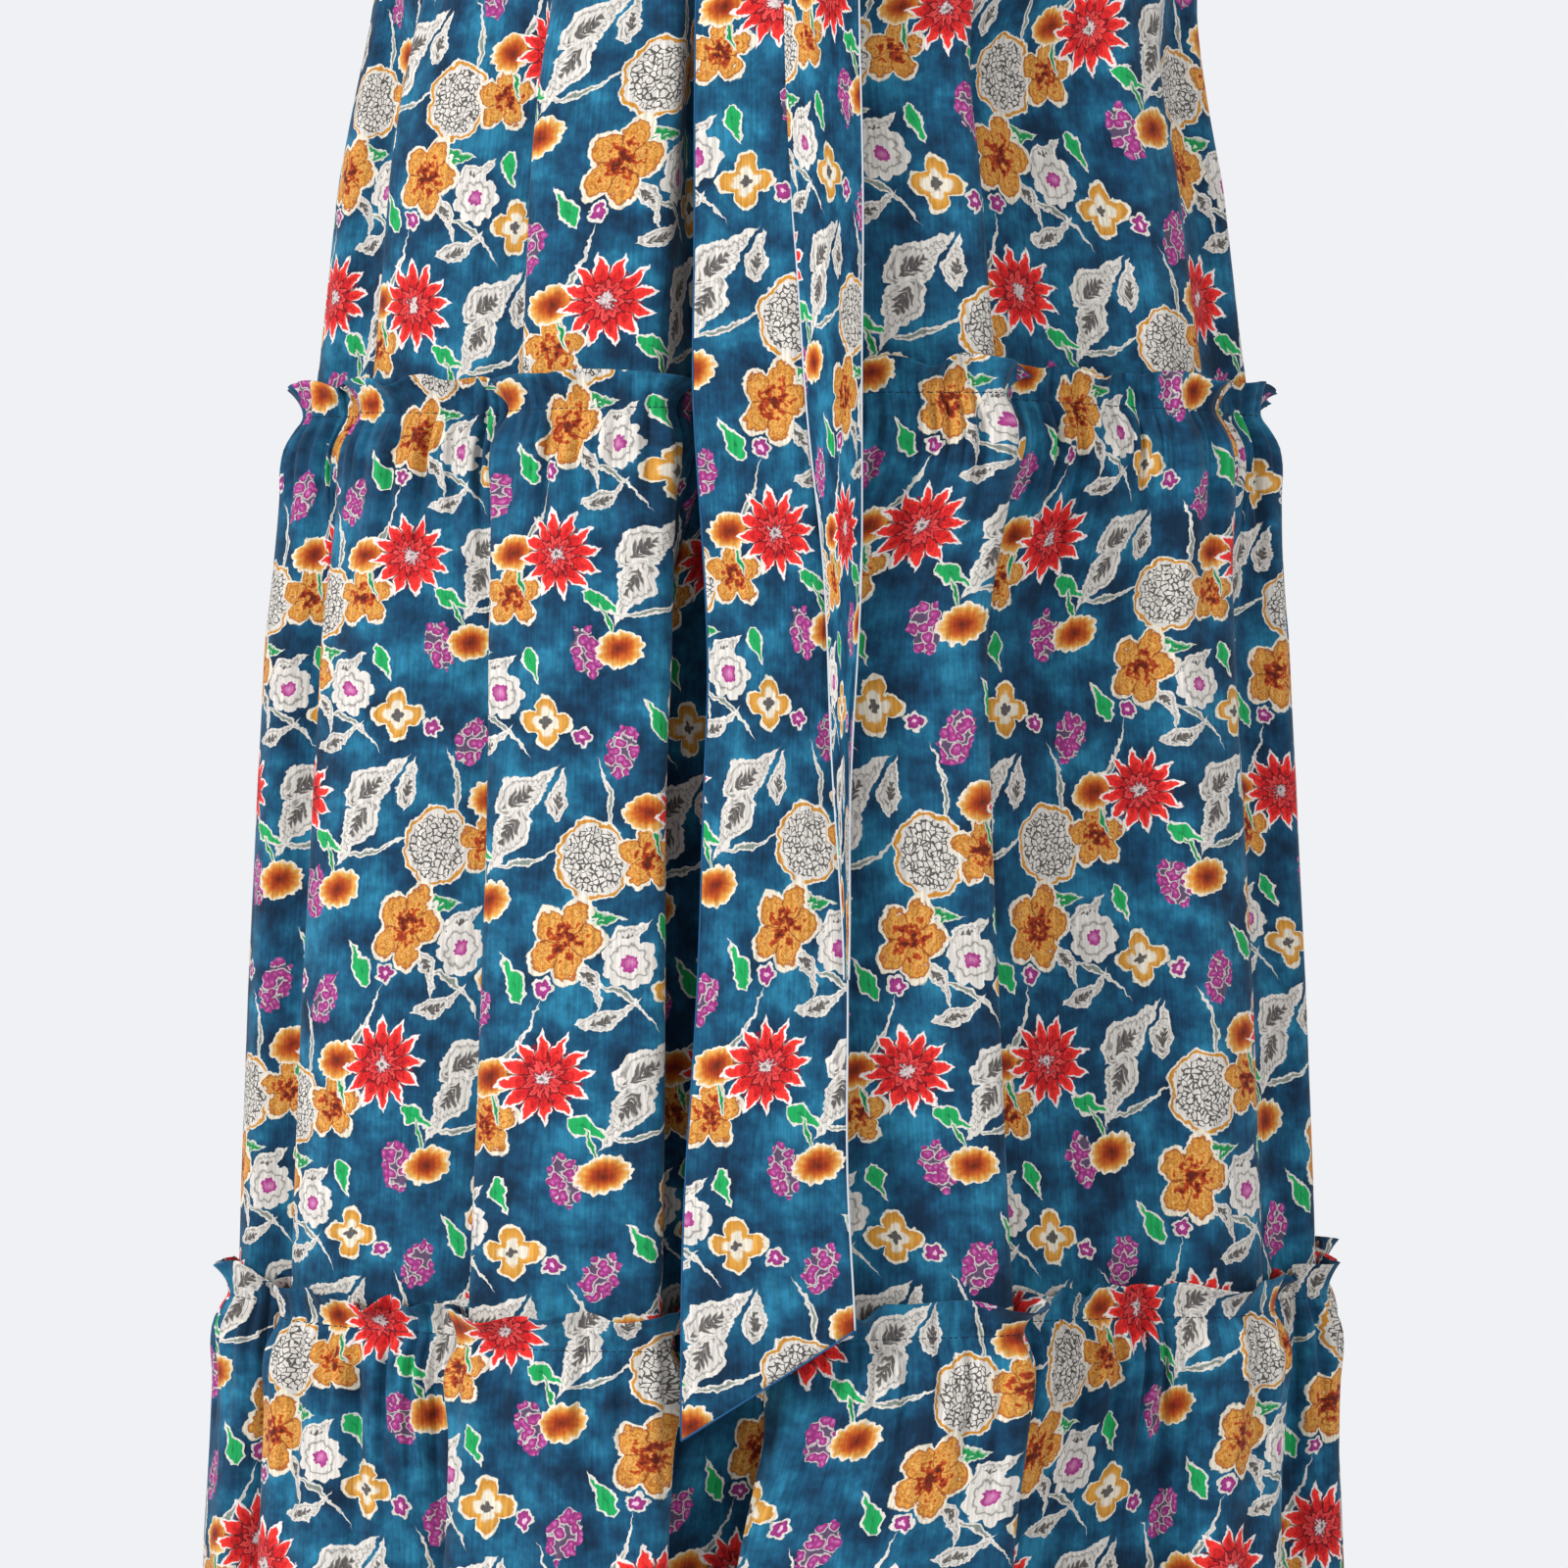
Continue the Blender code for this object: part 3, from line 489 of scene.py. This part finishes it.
GATHERS = [
    # wavelength_m, height_m at the stitching, height_m where it is fullest, fullest_m below, gone_m below
    (0.0085, 0.00100, 0.00200, 0.007, 0.055),
    (0.0170, 0.00060, 0.00300, 0.016, 0.110),
    (0.0420, 0.00040, 0.00300, 0.030, 0.210),
]


def gather_out(seed, at, cloth, below):
    """How far the small gathers stand out, this far below the stitching, at shares of the cloth."""
    out = np.zeros(len(at))
    for k, (wavelength, start, full, fullest, gone) in enumerate(GATHERS):
        if below < fullest:
            height = start + (full - start) * float(smooth_step(below / fullest))
        else:
            height = full * float(1 - smooth_step((below - fullest) / (gone - fullest))) ** 1.3
        out += height * (0.45 + ridged(uneven_wave(seed + k, at, cloth, wavelength)))
    return out


def rows_between(top, bottom, first, last):
    """Heights from top to bottom whose spacing grows evenly from first to last."""
    count = max(3, int(round((top - bottom) / ((first + last) / 2))))
    steps = np.linspace(first, last, count)
    return top - np.concatenate([[0.0], np.cumsum(steps) * (top - bottom) / steps.sum()])


def cloth_piece(name, grid, uv, material, thickness=CLOTH_THICKNESS, closed=False):
    """A thin shell on a grid of points, rows from the top down, with a flat map of the cloth in metres."""
    rows, columns = grid.shape[:2]
    data = bpy.data.meshes.new(name)
    index = np.arange(rows * columns).reshape(rows, columns)
    a, b = index[:-1, :-1], index[1:, :-1]
    c, d = index[1:, 1:], index[:-1, 1:]
    faces = np.stack([a, b, c, d], axis=2).reshape(-1, 4)
    if closed:
        wrap = np.stack([index[:-1, -1], index[1:, -1], index[1:, 0], index[:-1, 0]], axis=1)
        faces = np.concatenate([faces, wrap])
    data.from_pydata(grid.reshape(-1, 3).tolist(), [], faces.tolist())
    layer = data.uv_layers.new(name="flat_cloth")
    loops = np.empty(len(data.loops), dtype=np.int32)
    data.loops.foreach_get("vertex_index", loops)
    layer.data.foreach_set("uv", uv.reshape(-1, 2)[loops].astype(np.float32).ravel())
    data.shade_smooth()
    data.materials.append(material)
    piece = bpy.data.objects.new(name, data)
    bpy.context.scene.collection.objects.link(piece)
    shell = piece.modifiers.new("cloth thickness", "SOLIDIFY")
    shell.thickness = thickness
    shell.offset = 0.0
    return piece


def tier_panel(name, side, top, bottom, seam_z, cloth, seed):
    """One gathered panel of a tier. Returns its piece and its grid of points."""
    at = np.linspace(0, 1, (FRONT_COLUMNS if side == FRONT else BACK_COLUMNS) + 1)
    half = cloth / 2
    heights = []
    if seam_z is not None:
        heights += list(rows_between(top, seam_z, 0.0020, 0.0024)[:-1])
        top = seam_z
    heights += list(rows_between(top, bottom, 0.0026, 0.0150))
    frill = 0.5 + 0.5 * uneven_wave(seed + 7, at, half, 0.034, 3.6)
    flop = np.radians(6 + 62 * frill * (0.62 + 0.38 * uneven_wave(seed + 8, at, half, 0.090)))
    ragged = 1 + 0.10 * uneven_wave(seed + 9, at, half, 0.055)
    grid, flat = [], []
    for z in heights:
        level = min(z, seam_z) if seam_z is not None else z
        x, y, share = fold_line(side, z, at)
        tangent_x, tangent_y = np.gradient(x), np.gradient(y)
        size = np.hypot(tangent_x, tangent_y)
        below = (seam_z if seam_z is not None else BAND_LINE[0] + 0.012) - level
        out = gather_out(seed, at, half, below)
        if seam_z is not None:
            out += SEAM_LIFT * (1 - float(smooth_step((below - ALLOWANCE - 0.005) / 0.030)))
        rise = np.zeros(len(at))
        if seam_z is not None and z > seam_z:
            height = (z - seam_z) * ragged
            turned = flop * ((z - seam_z) / HEADING) ** 0.6
            out += height * np.sin(turned)
            rise = height * np.cos(turned) - (z - seam_z)
        if z > BAND_LINE[0] - 0.02 and seam_z is None:
            out *= 0.45
        fade = np.minimum(1.0, np.minimum(at, 1 - at) / 0.012)
        out = out * fade + (0.0 if seam_z is None else SEAM_LIFT * 0.5) * (1 - fade)
        row = np.stack([x + tangent_y / size * out, y - tangent_x / size * out,
                        z + rise - droop(side, share, z)], axis=1)
        row[[0, -1], 1] = side * SEAM_GAP / 2
        grid.append(row)
        flat.append(np.stack([at * half + (0 if side == FRONT else half), np.full(len(at), z)], axis=1))
    grid = np.array(grid)
    piece = cloth_piece(name + "_cloth", grid, np.array(flat), chiffon)
    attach(piece, "root")
    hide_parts(name)
    return piece, grid


def outside_line(grid, row, side):
    """A row of a panel's points, moved out of the cloth by half its thickness."""
    line = grid[row]
    along = np.gradient(line[:, :2], axis=0)
    out = np.stack([along[:, 1], -along[:, 0], np.zeros(len(line))], axis=1)
    return line + out / np.linalg.norm(out, axis=1, keepdims=True) * CLOTH_THICKNESS / 2


skirt_points = []
seam_lines = {"middle_tier": [], "lower_tier": [], "hem": []}
for side, word in ((FRONT, "front"), (BACK, "back")):
    for tier, top, bottom, seam_z, cloth, seed in (
        ("upper_tier", WAIST_Z - SEAM_GAP / 2, UPPER_SEAM_Z - ALLOWANCE, None, UPPER_CLOTH, 11),
        ("middle_tier", UPPER_SEAM_Z + HEADING, LOWER_SEAM_Z - ALLOWANCE, UPPER_SEAM_Z, MIDDLE_CLOTH, 31),
        ("lower_tier", LOWER_SEAM_Z + HEADING, HEM_Z, LOWER_SEAM_Z, LOWER_CLOTH, 51),
    ):
        piece, grid = tier_panel(f"{tier}_{word}", side, top, bottom, seam_z, cloth, seed + 100 * (side + 1))
        if side == FRONT:
            skirt_points.append(grid.reshape(-1, 3))
        if seam_z is not None:
            seam_lines[tier].append(outside_line(grid, int(np.argmin(np.abs(grid[:, 0, 2] - seam_z))), side))
        if tier == "lower_tier":
            seam_lines["hem"].append(outside_line(grid, -2, side))
skirt_points = np.concatenate(skirt_points)


# The bodice: a front and a back cut from the same chiffon, joined at the shoulders and sides, gathered
# into the waist, with the neck and armholes turned in a narrow stitched hem.
BODICE_COLUMNS = 160
BODICE_ROWS = 48
SHOULDER_ROUND = 0.085
BODICE_PLAN = [
    # z, half_width, half_depth
    (-0.425, 0.137, 0.100),
    (-0.366, 0.137, 0.100),
    (-0.335, 0.160, 0.117),
    (-0.280, 0.170, 0.124),
    (-0.200, 0.174, 0.122),
    (-0.100, 0.172, 0.112),
    (0.000, 0.168, 0.100),
]
BODICE_TOP = [
    # share_of_columns, x, z_front, z_back, waist_turn_deg
    (0.0000, 0.174, -0.205, -0.205, 90),
    (0.0625, 0.160, -0.176, -0.174, 74),
    (0.1250, 0.137, -0.106, -0.102, 56),
    (0.1875, 0.116, -0.015, -0.015, 38),
    (0.2500, 0.074, 0.000, 0.000, 32),
    (0.3125, 0.069, -0.045, -0.018, 24),
    (0.3750, 0.056, -0.088, -0.033, 16),
    (0.4375, 0.031, -0.112, -0.042, 8),
    (0.5000, 0.000, -0.120, -0.045, 0),
]
SHOULDER_TIP = BODICE_TOP[3]
NECK_POINT = BODICE_TOP[4]


def bodice_top(share, side):
    """Where a column of a bodice panel starts, and where it ends round the waist: x, z, turn."""
    at = min(share, 1 - share)
    shares = [row[0] for row in BODICE_TOP]
    x, z, turn = (float(np.interp(at, shares, [row[k] for row in BODICE_TOP]))
                  for k in (1, 2 if side == FRONT else 3, 4))
    way = -1 if share <= 0.5 else 1
    return way * x, z, way * math.radians(turn)


def bodice_depth(x, z):
    """How far the bodice lies from the plane of its side seams: an oval that closes over the shoulders."""
    slope = (NECK_POINT[2] - SHOULDER_TIP[2]) / (SHOULDER_TIP[1] - NECK_POINT[1])
    shoulder_line = -max(0.0, abs(x) - NECK_POINT[1]) * slope
    across = min(1.0, abs(x) / column(BODICE_PLAN, 1, z))
    depth = column(BODICE_PLAN, 2, z) * math.sqrt(max(0.0, 1 - across**2.1))
    below = min(1.0, max(0.0, shoulder_line - z) / SHOULDER_ROUND)
    return max(SEAM_GAP / 2, depth * math.sqrt(1 - (1 - below) ** 2))


bodice_edges = []
for side, word in ((FRONT, "front"), (BACK, "back")):
    at = np.linspace(0, 1, BODICE_COLUMNS + 1)
    gather = 0.0008 * (1 + uneven_wave(5, at, 0.50, 0.009)) + 0.0012 * (1 + uneven_wave(6, at, 0.50, 0.021))
    gather *= np.minimum(1.0, np.minimum(at, 1 - at) / 0.02)
    grid, flat = [], []
    for height in np.linspace(0, 1, BODICE_ROWS + 1) ** 0.9:
        row = []
        for c, share in enumerate(at):
            top_x, top_z, turn = bodice_top(share, side)
            z = top_z + (WAIST_Z + SEAM_GAP / 2 - top_z) * height
            spread = math.sin(turn) + (top_x / column(BODICE_PLAN, 1, top_z) - math.sin(turn)) * (1 - height) ** 1.5
            x = column(BODICE_PLAN, 1, z) * spread
            y = side * bodice_depth(x, z)
            fuller = 1 + gather[c] * float(smooth_step((height - 0.45) / 0.45)) / math.hypot(x, y)
            row.append((x * fuller, y * fuller, z))
        length = np.concatenate([[0.0], np.cumsum(np.linalg.norm(np.diff(row, axis=0), axis=1))])
        grid.append(row)
        flat.append(np.stack([length - length[-1] / 2, np.array(row)[:, 2]], axis=1))
    grid, flat = np.array(grid), np.array(flat)
    if side == BACK:
        grid, flat = grid[:, ::-1], flat[:, ::-1]
    piece = cloth_piece(f"bodice_{word}_cloth", grid, flat, chiffon)
    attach(piece, "root")
    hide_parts(f"bodice_{word}")
    tip, neck = (int(row[0] * BODICE_COLUMNS) for row in (SHOULDER_TIP, NECK_POINT))
    edge = grid[0]
    bodice_edges += [edge[: tip + 1], edge[neck : BODICE_COLUMNS + 1 - neck], edge[BODICE_COLUMNS - tip :]]


# The sash, of the same chiffon: a band wound round the waist in soft creases, tied in a flat knot in
# front, with two ends hanging. Its long edges have a narrow rolled hem that shows the cloth's white back.
BAND_HALF_HEIGHT = 0.020
BAND_STAND_OFF = 0.0066
BAND_COLUMNS = 260
BAND_BULGE = 0.0012
KNOT_SIZE = (0.050, 0.026, 0.052)
LAY_GAP = 0.0006
END_TOP_Z = WAIST_Z - KNOT_SIZE[2] / 2 - SEAM_GAP
HEM_RADIUS = 0.0005
UNDER_END = [
    # z, left_x, right_x, bow
    (END_TOP_Z, -0.014, 0.010, 0.000),
    (-0.455, -0.027, 0.020, 0.006),
    (-0.500, -0.037, 0.028, 0.005),
    (-0.600, -0.038, 0.030, 0.004),
    (-0.703, -0.038, 0.030, 0.003),
    (-0.770, -0.034, 0.029, 0.003),
    (-0.830, -0.031, 0.028, 0.003),
    (-0.890, -0.033, 0.028, 0.003),
    (-0.960, -0.037, 0.028, 0.003),
    (-1.030, -0.0405, 0.029, 0.003),
    (-1.107, -0.0435, 0.031, 0.003),
]
UNDER_END_TAIL = 0.047
OVER_END = [
    # z, left_x, right_x, bow
    (END_TOP_Z, -0.008, 0.014, 0.000),
    (-0.455, -0.006, 0.027, 0.005),
    (-0.500, -0.001, 0.034, 0.004),
    (-0.593, 0.002, 0.0355, 0.003),
    (-0.662, 0.008, 0.0355, 0.003),
    (-0.723, 0.0125, 0.0355, 0.003),
    (-0.772, 0.0175, 0.0345, 0.002),
    (-0.830, 0.0208, 0.0325, 0.0015),
    (-0.895, 0.0245, 0.0300, 0.001),
    (-0.958, 0.0265, 0.0282, 0.0),
]


def plain_material(name, colour, roughness):
    material = bpy.data.materials.new(name)
    material.use_nodes = True
    shader = material.node_tree.nodes["Principled BSDF"]
    shader.inputs["Base Color"].default_value = linear(colour)
    shader.inputs["Roughness"].default_value = roughness
    shader.inputs["Specular IOR Level"].default_value = 0.2
    return material


def cord(name, points, radius, material, sides=6):
    """A thin round cord through points, closed at its ends."""
    points = np.asarray(points)
    along = np.gradient(points, axis=0)
    along /= np.linalg.norm(along, axis=1, keepdims=True)
    beside = np.cross(along, (0.31, 0.87, 0.38))
    beside /= np.linalg.norm(beside, axis=1, keepdims=True)
    above = np.cross(along, beside)
    turns = np.arange(sides) * 2 * math.pi / sides
    rings = points[:, None] + radius * (np.cos(turns)[:, None] * beside[:, None] + np.sin(turns)[:, None] * above[:, None])
    data = bpy.data.meshes.new(name)
    faces = [(r * sides + k, r * sides + (k + 1) % sides, (r + 1) * sides + (k + 1) % sides, (r + 1) * sides + k)
             for r in range(len(points) - 1) for k in range(sides)]
    last = (len(points) - 1) * sides
    faces += [tuple(range(sides))[::-1], tuple(range(last, last + sides))]
    data.from_pydata(rings.reshape(-1, 3).tolist(), [], faces)
    data.shade_smooth()
    data.materials.append(material)
    made = bpy.data.objects.new(name, data)
    bpy.context.scene.collection.objects.link(made)
    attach(made, "root")
    return made


pale_hem = plain_material("rolled_hem_white_back", "#A9AEB4", 0.85)
blue_hem = plain_material("rolled_hem_printed_face", "#15456A", 0.85)

turn = np.linspace(0, 2 * math.pi, BAND_COLUMNS, endpoint=False)
band_width, band_depth = BODICE_PLAN[0][1] + BAND_STAND_OFF, BODICE_PLAN[0][2] + BAND_STAND_OFF
grid, flat = [], []
for share in np.linspace(1, -1, 27):
    crease = np.abs(np.sin(math.pi * (2.1 * share + 0.35 * np.sin(turn * 2 + 1.0) + 0.20 * np.sin(turn * 5))))
    out = BAND_BULGE * (1 - share**2) + 0.0013 * crease - 0.0008
    out = out - 0.0022 * float(smooth_step((abs(share) - 0.93) / 0.07))
    z = WAIST_Z + BAND_HALF_HEIGHT * share
    grid.append(np.stack([(band_width + out) * np.sin(turn), -(band_depth + out) * np.cos(turn), np.full(BAND_COLUMNS, z)], 1))
    flat.append(np.stack([turn * 0.12, np.full(BAND_COLUMNS, share * 0.045)], 1))
band = cloth_piece("sash_band_cloth", np.array(grid), np.array(flat), chiffon, closed=True)
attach(band, "root")
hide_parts("sash_band")

knot_mesh = bmesh.new()
bmesh.ops.create_uvsphere(knot_mesh, u_segments=96, v_segments=64, radius=1.0, calc_uvs=False)
knot_front = band_depth + 0.0012 + BAND_BULGE
wrap_layer = knot_mesh.loops.layers.uv.new("flat_cloth")
for vert in knot_mesh.verts:
    x, y, z = vert.co
    swell = 1 + 0.10 * math.cos(3.0 * x + 1.2 * z)
    fold = 1 + 0.045 * math.sin(11 * x + 2.2 * z + 1.5 * math.sin(2 * z)) * (1 - z * z) * (y < 0.2)
    vert.co = (KNOT_SIZE[0] / 2 * swell * fold * math.copysign(abs(x) ** 0.8, x),
               KNOT_SIZE[1] / 2 * swell * fold * math.copysign(abs(y) ** 0.8, y),
               WAIST_Z + KNOT_SIZE[2] / 2 * math.copysign(abs(z) ** 0.85, z))
for face in knot_mesh.faces:
    for loop in face.loops:
        loop[wrap_layer].uv = (loop.vert.co.x, loop.vert.co.z)


def band_face(x):
    """How much nearer the waist's axis the band's face is at x than at its front, below zero."""
    half_width, half_depth = BODICE_PLAN[0][1:]
    return -half_depth * (1 - math.sqrt(max(0.0, 1 - (x / half_width) ** 2)))


knot_middle = max(vert.co.y + knot_front + band_face(vert.co.x) for vert in knot_mesh.verts) + SEAM_GAP
for vert in knot_mesh.verts:
    vert.co.y -= knot_middle
knot_data = bpy.data.meshes.new("sash_knot_cloth")
knot_mesh.to_mesh(knot_data)
knot_mesh.free()
knot_data.shade_smooth()
knot_data.materials.append(chiffon)
knot = bpy.data.objects.new("sash_knot_cloth", knot_data)
bpy.context.scene.collection.objects.link(knot)
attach(knot, "root")
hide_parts("sash_knot")


def softened(table, index, heights, spread=0.014):
    """A column of a table at these heights, with its corners rounded."""
    fine = np.linspace(min(heights) - 4 * spread, max(heights) + 4 * spread, 800)
    rows = sorted(table)
    value = np.interp(fine, [row[0] for row in rows], [row[index] for row in rows])
    kernel = np.exp(-0.5 * (np.linspace(-3, 3, int(6 * spread / (fine[1] - fine[0])) | 1)) ** 2)
    reach = len(kernel) // 2
    value = np.convolve(np.pad(value, reach, mode="edge"), kernel / kernel.sum(), "valid")
    return np.interp(heights, fine, value)


def sash_end(name, table, tail, reach, lift, tucks, flat_start):
    """A hanging end: across its width it bows out, with soft lengthwise tucks. Returns its grid."""
    heights = np.linspace(table[0][0], table[-1][0], 150)
    across = np.linspace(0, 1, 37)
    left, right, bow = (softened(table, k, heights) for k in (1, 2, 3))
    fall = np.linspace(0, 1, len(heights))
    grid, flat = [], []
    for r, z in enumerate(heights):
        out = reach(z) + lift + bow[r] * (1 - (2 * across - 1) ** 2)
        for place, depth, width, start, stop in tucks:
            strength = float(smooth_step((start - z) / 0.05) * smooth_step((z - stop) / 0.05))
            out += depth * strength * np.exp(-(((across - place - 0.05 * math.sin(14 * z)) / width) ** 2))
        sway = 0.0009 * math.sin(38 * z + 3 * tail) * fall[r]
        x = left[r] + (right[r] - left[r]) * across + sway
        down = z - tail * (1 - across) * fall[r] ** 6
        grid.append(np.stack([x, -out, down], axis=1))
        flat.append(np.stack([flat_start + across * 0.072, down], axis=1))
    grid = np.array(grid)
    piece = cloth_piece(name + "_cloth", grid, np.array(flat), chiffon)
    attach(piece, "root")
    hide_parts(name)
    return piece, grid


near = skirt_points[(np.abs(skirt_points[:, 0]) < 0.055) & (skirt_points[:, 1] < 0)]
reach_heights = [row[0] for row in UNDER_END]
reach_out = [-near[np.abs(near[:, 2] - z) < 0.075][:, 1].min() + 0.0024 for z in reach_heights]
reach_out = np.maximum([knot_middle] + reach_out[1:], knot_middle)
soft_heights = np.linspace(reach_heights[-1], reach_heights[0], 300)
soft_reach = softened(list(zip(reach_heights, reach_out)), 1, soft_heights, spread=0.010)


def under_reach(z):
    return float(np.interp(z, soft_heights, soft_reach))


def over_reach(z):
    return under_reach(z) + column(UNDER_END, 3, z)


under, under_grid = sash_end("sash_end_under", UNDER_END, UNDER_END_TAIL, under_reach, 0.0, [
    # place_across, depth_m, width_across, start_z, stop_z
    (0.62, 0.0030, 0.10, -0.46, -0.80),
    (0.30, 0.0016, 0.12, -0.60, -1.02),
    (0.85, -0.0012, 0.08, -0.78, -1.10),
], 0.310)
over, over_grid = sash_end("sash_end_over", OVER_END, 0.0, over_reach, 0.0022, [
    (0.45, 0.0020, 0.16, -0.46, -0.74),
], 0.420)

for name, line, material in (
    ("sash_end_under_hem_left", under_grid[:, 0], blue_hem),
    ("sash_end_under_hem_foot", under_grid[-1], blue_hem),
    ("sash_end_under_hem_right", under_grid[:, -1], pale_hem),
    ("sash_end_over_hem_left", over_grid[:, 0], pale_hem),
    ("sash_end_over_hem_right", over_grid[:, -1], pale_hem),
):
    cord(name, line, HEM_RADIUS, material)


# The sewing: straight lockstitch in navy polyester thread, along both gathered seams, the skirt's hem,
# the neck and the armholes. Each stitch is a short rod, repeated by one Geometry Nodes group.
thread = plain_material("navy_sewing_thread", "#081C30", 0.6)


def stitch_group():
    tree = bpy.data.node_groups.new("running_stitches", "GeometryNodeTree")
    tree.interface.new_socket("Seam lines", in_out="INPUT", socket_type="NodeSocketGeometry")
    for label, value in (("Stitch pitch", 0.0030), ("Stitch length", 0.0025), ("Thread thickness", 0.0006)):
        tree.interface.new_socket(label, in_out="INPUT", socket_type="NodeSocketFloat").default_value = value
    tree.interface.new_socket("Stitches", in_out="OUTPUT", socket_type="NodeSocketGeometry")
    given = tree.nodes.new("NodeGroupInput")
    lines, pitch, length, thickness = given.outputs[:4]
    curve = put(tree, "GeometryNodeMeshToCurve", lines)
    points = put(tree, "GeometryNodeResampleCurve", curve, mode="LENGTH")
    tree.links.new(pitch, points.inputs["Length"])
    facing = put(tree, "FunctionNodeAlignRotationToVector", axis="Z")
    tree.links.new(tree.nodes.new("GeometryNodeInputTangent").outputs[0], facing.inputs["Vector"])
    rod = put(tree, "GeometryNodeMeshUVSphere", 5, 3, 0.5)
    size = put(tree, "CombineXYZ", thickness, thickness, length)
    placed = put(tree, "GeometryNodeInstanceOnPoints", points)
    tree.links.new(rod.outputs["Mesh"], placed.inputs["Instance"])
    tree.links.new(facing.outputs[0], placed.inputs["Rotation"])
    tree.links.new(size.outputs[0], placed.inputs["Scale"])
    real = put(tree, "GeometryNodeRealizeInstances", placed)
    coloured = put(tree, "GeometryNodeSetMaterial", real)
    coloured.inputs["Material"].default_value = thread
    tree.links.new(coloured.outputs[0], tree.nodes.new("NodeGroupOutput").inputs[0])
    return tree


def stitched(name, lines, group, **inputs):
    """Stitches along lines of points, made into a plain mesh."""
    data = bpy.data.meshes.new(name + "_lines")
    points, edges = [], []
    for line in lines:
        first = len(points)
        points += [tuple(point) for point in line]
        edges += [(k, k + 1) for k in range(first, len(points) - 1)]
    data.from_pydata(points, edges, [])
    made = bpy.data.objects.new(name, data)
    bpy.context.scene.collection.objects.link(made)
    sewing = made.modifiers.new("stitches", "NODES")
    sewing.node_group = group
    for item in group.interface.items_tree:
        if item.in_out == "INPUT" and item.name in inputs:
            sewing[item.identifier] = inputs[item.name]
    ready = made.evaluated_get(bpy.context.evaluated_depsgraph_get())
    plain = bpy.data.meshes.new_from_object(ready)
    made.modifiers.clear()
    made.data = plain
    plain.shade_smooth()
    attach(made, "root")
    return made


stitches = stitch_group()
stitched("upper_seam_stitches", seam_lines["middle_tier"], stitches)
stitched("lower_seam_stitches", seam_lines["lower_tier"], stitches)
stitched("hem_stitches", seam_lines["hem"], stitches)
stitched("neck_and_armhole_stitches", bodice_edges, stitches, **{"Stitch pitch": 0.0026, "Stitch length": 0.0021})


# A plain pale floor under the dress, a near-white room and soft studio light from both sides.
floor_mesh = bmesh.new()
bmesh.ops.create_circle(floor_mesh, cap_ends=True, radius=1.1, segments=96)
floor_data = bpy.data.meshes.new("floor")
floor_mesh.to_mesh(floor_data)
floor_mesh.free()
floor = bpy.data.objects.new("floor", floor_data)
floor.location = (0.0, 0.0, -1.47)
bpy.context.scene.collection.objects.link(floor)
floor_paint = bpy.data.materials.new("matte_white_floor")
floor_paint.use_nodes = True
floor_paint.node_tree.nodes["Principled BSDF"].inputs["Base Color"].default_value = linear("#E6E7EA")
floor_data.materials.append(floor_paint)

room = bpy.data.worlds.new("studio_room")
room.use_nodes = True
room.node_tree.nodes["Background"].inputs["Color"].default_value = linear("#F0F1F4")
room.node_tree.nodes["Background"].inputs["Strength"].default_value = 1.0
bpy.context.scene.world = room
bpy.context.scene.view_settings.view_transform = "Standard"
bpy.context.scene.cycles.max_bounces = 3
bpy.context.scene.cycles.diffuse_bounces = 2

for name, place, width, power in (
    ("key_softbox", (-2.2, -2.2, 0.3), 0.8, 105.0),
    ("fill_softbox", (1.4, -2.7, -0.3), 1.4, 26.0),
):
    lamp = bpy.data.lights.new(name, "AREA")
    lamp.shape = "SQUARE"
    lamp.size = width
    lamp.energy = power
    softbox = bpy.data.objects.new(name, lamp)
    softbox.location = place
    softbox.rotation_euler = (Vector((0, 0, -0.85)) - Vector(place)).to_track_quat("-Z", "Y").to_euler()
    bpy.context.scene.collection.objects.link(softbox)
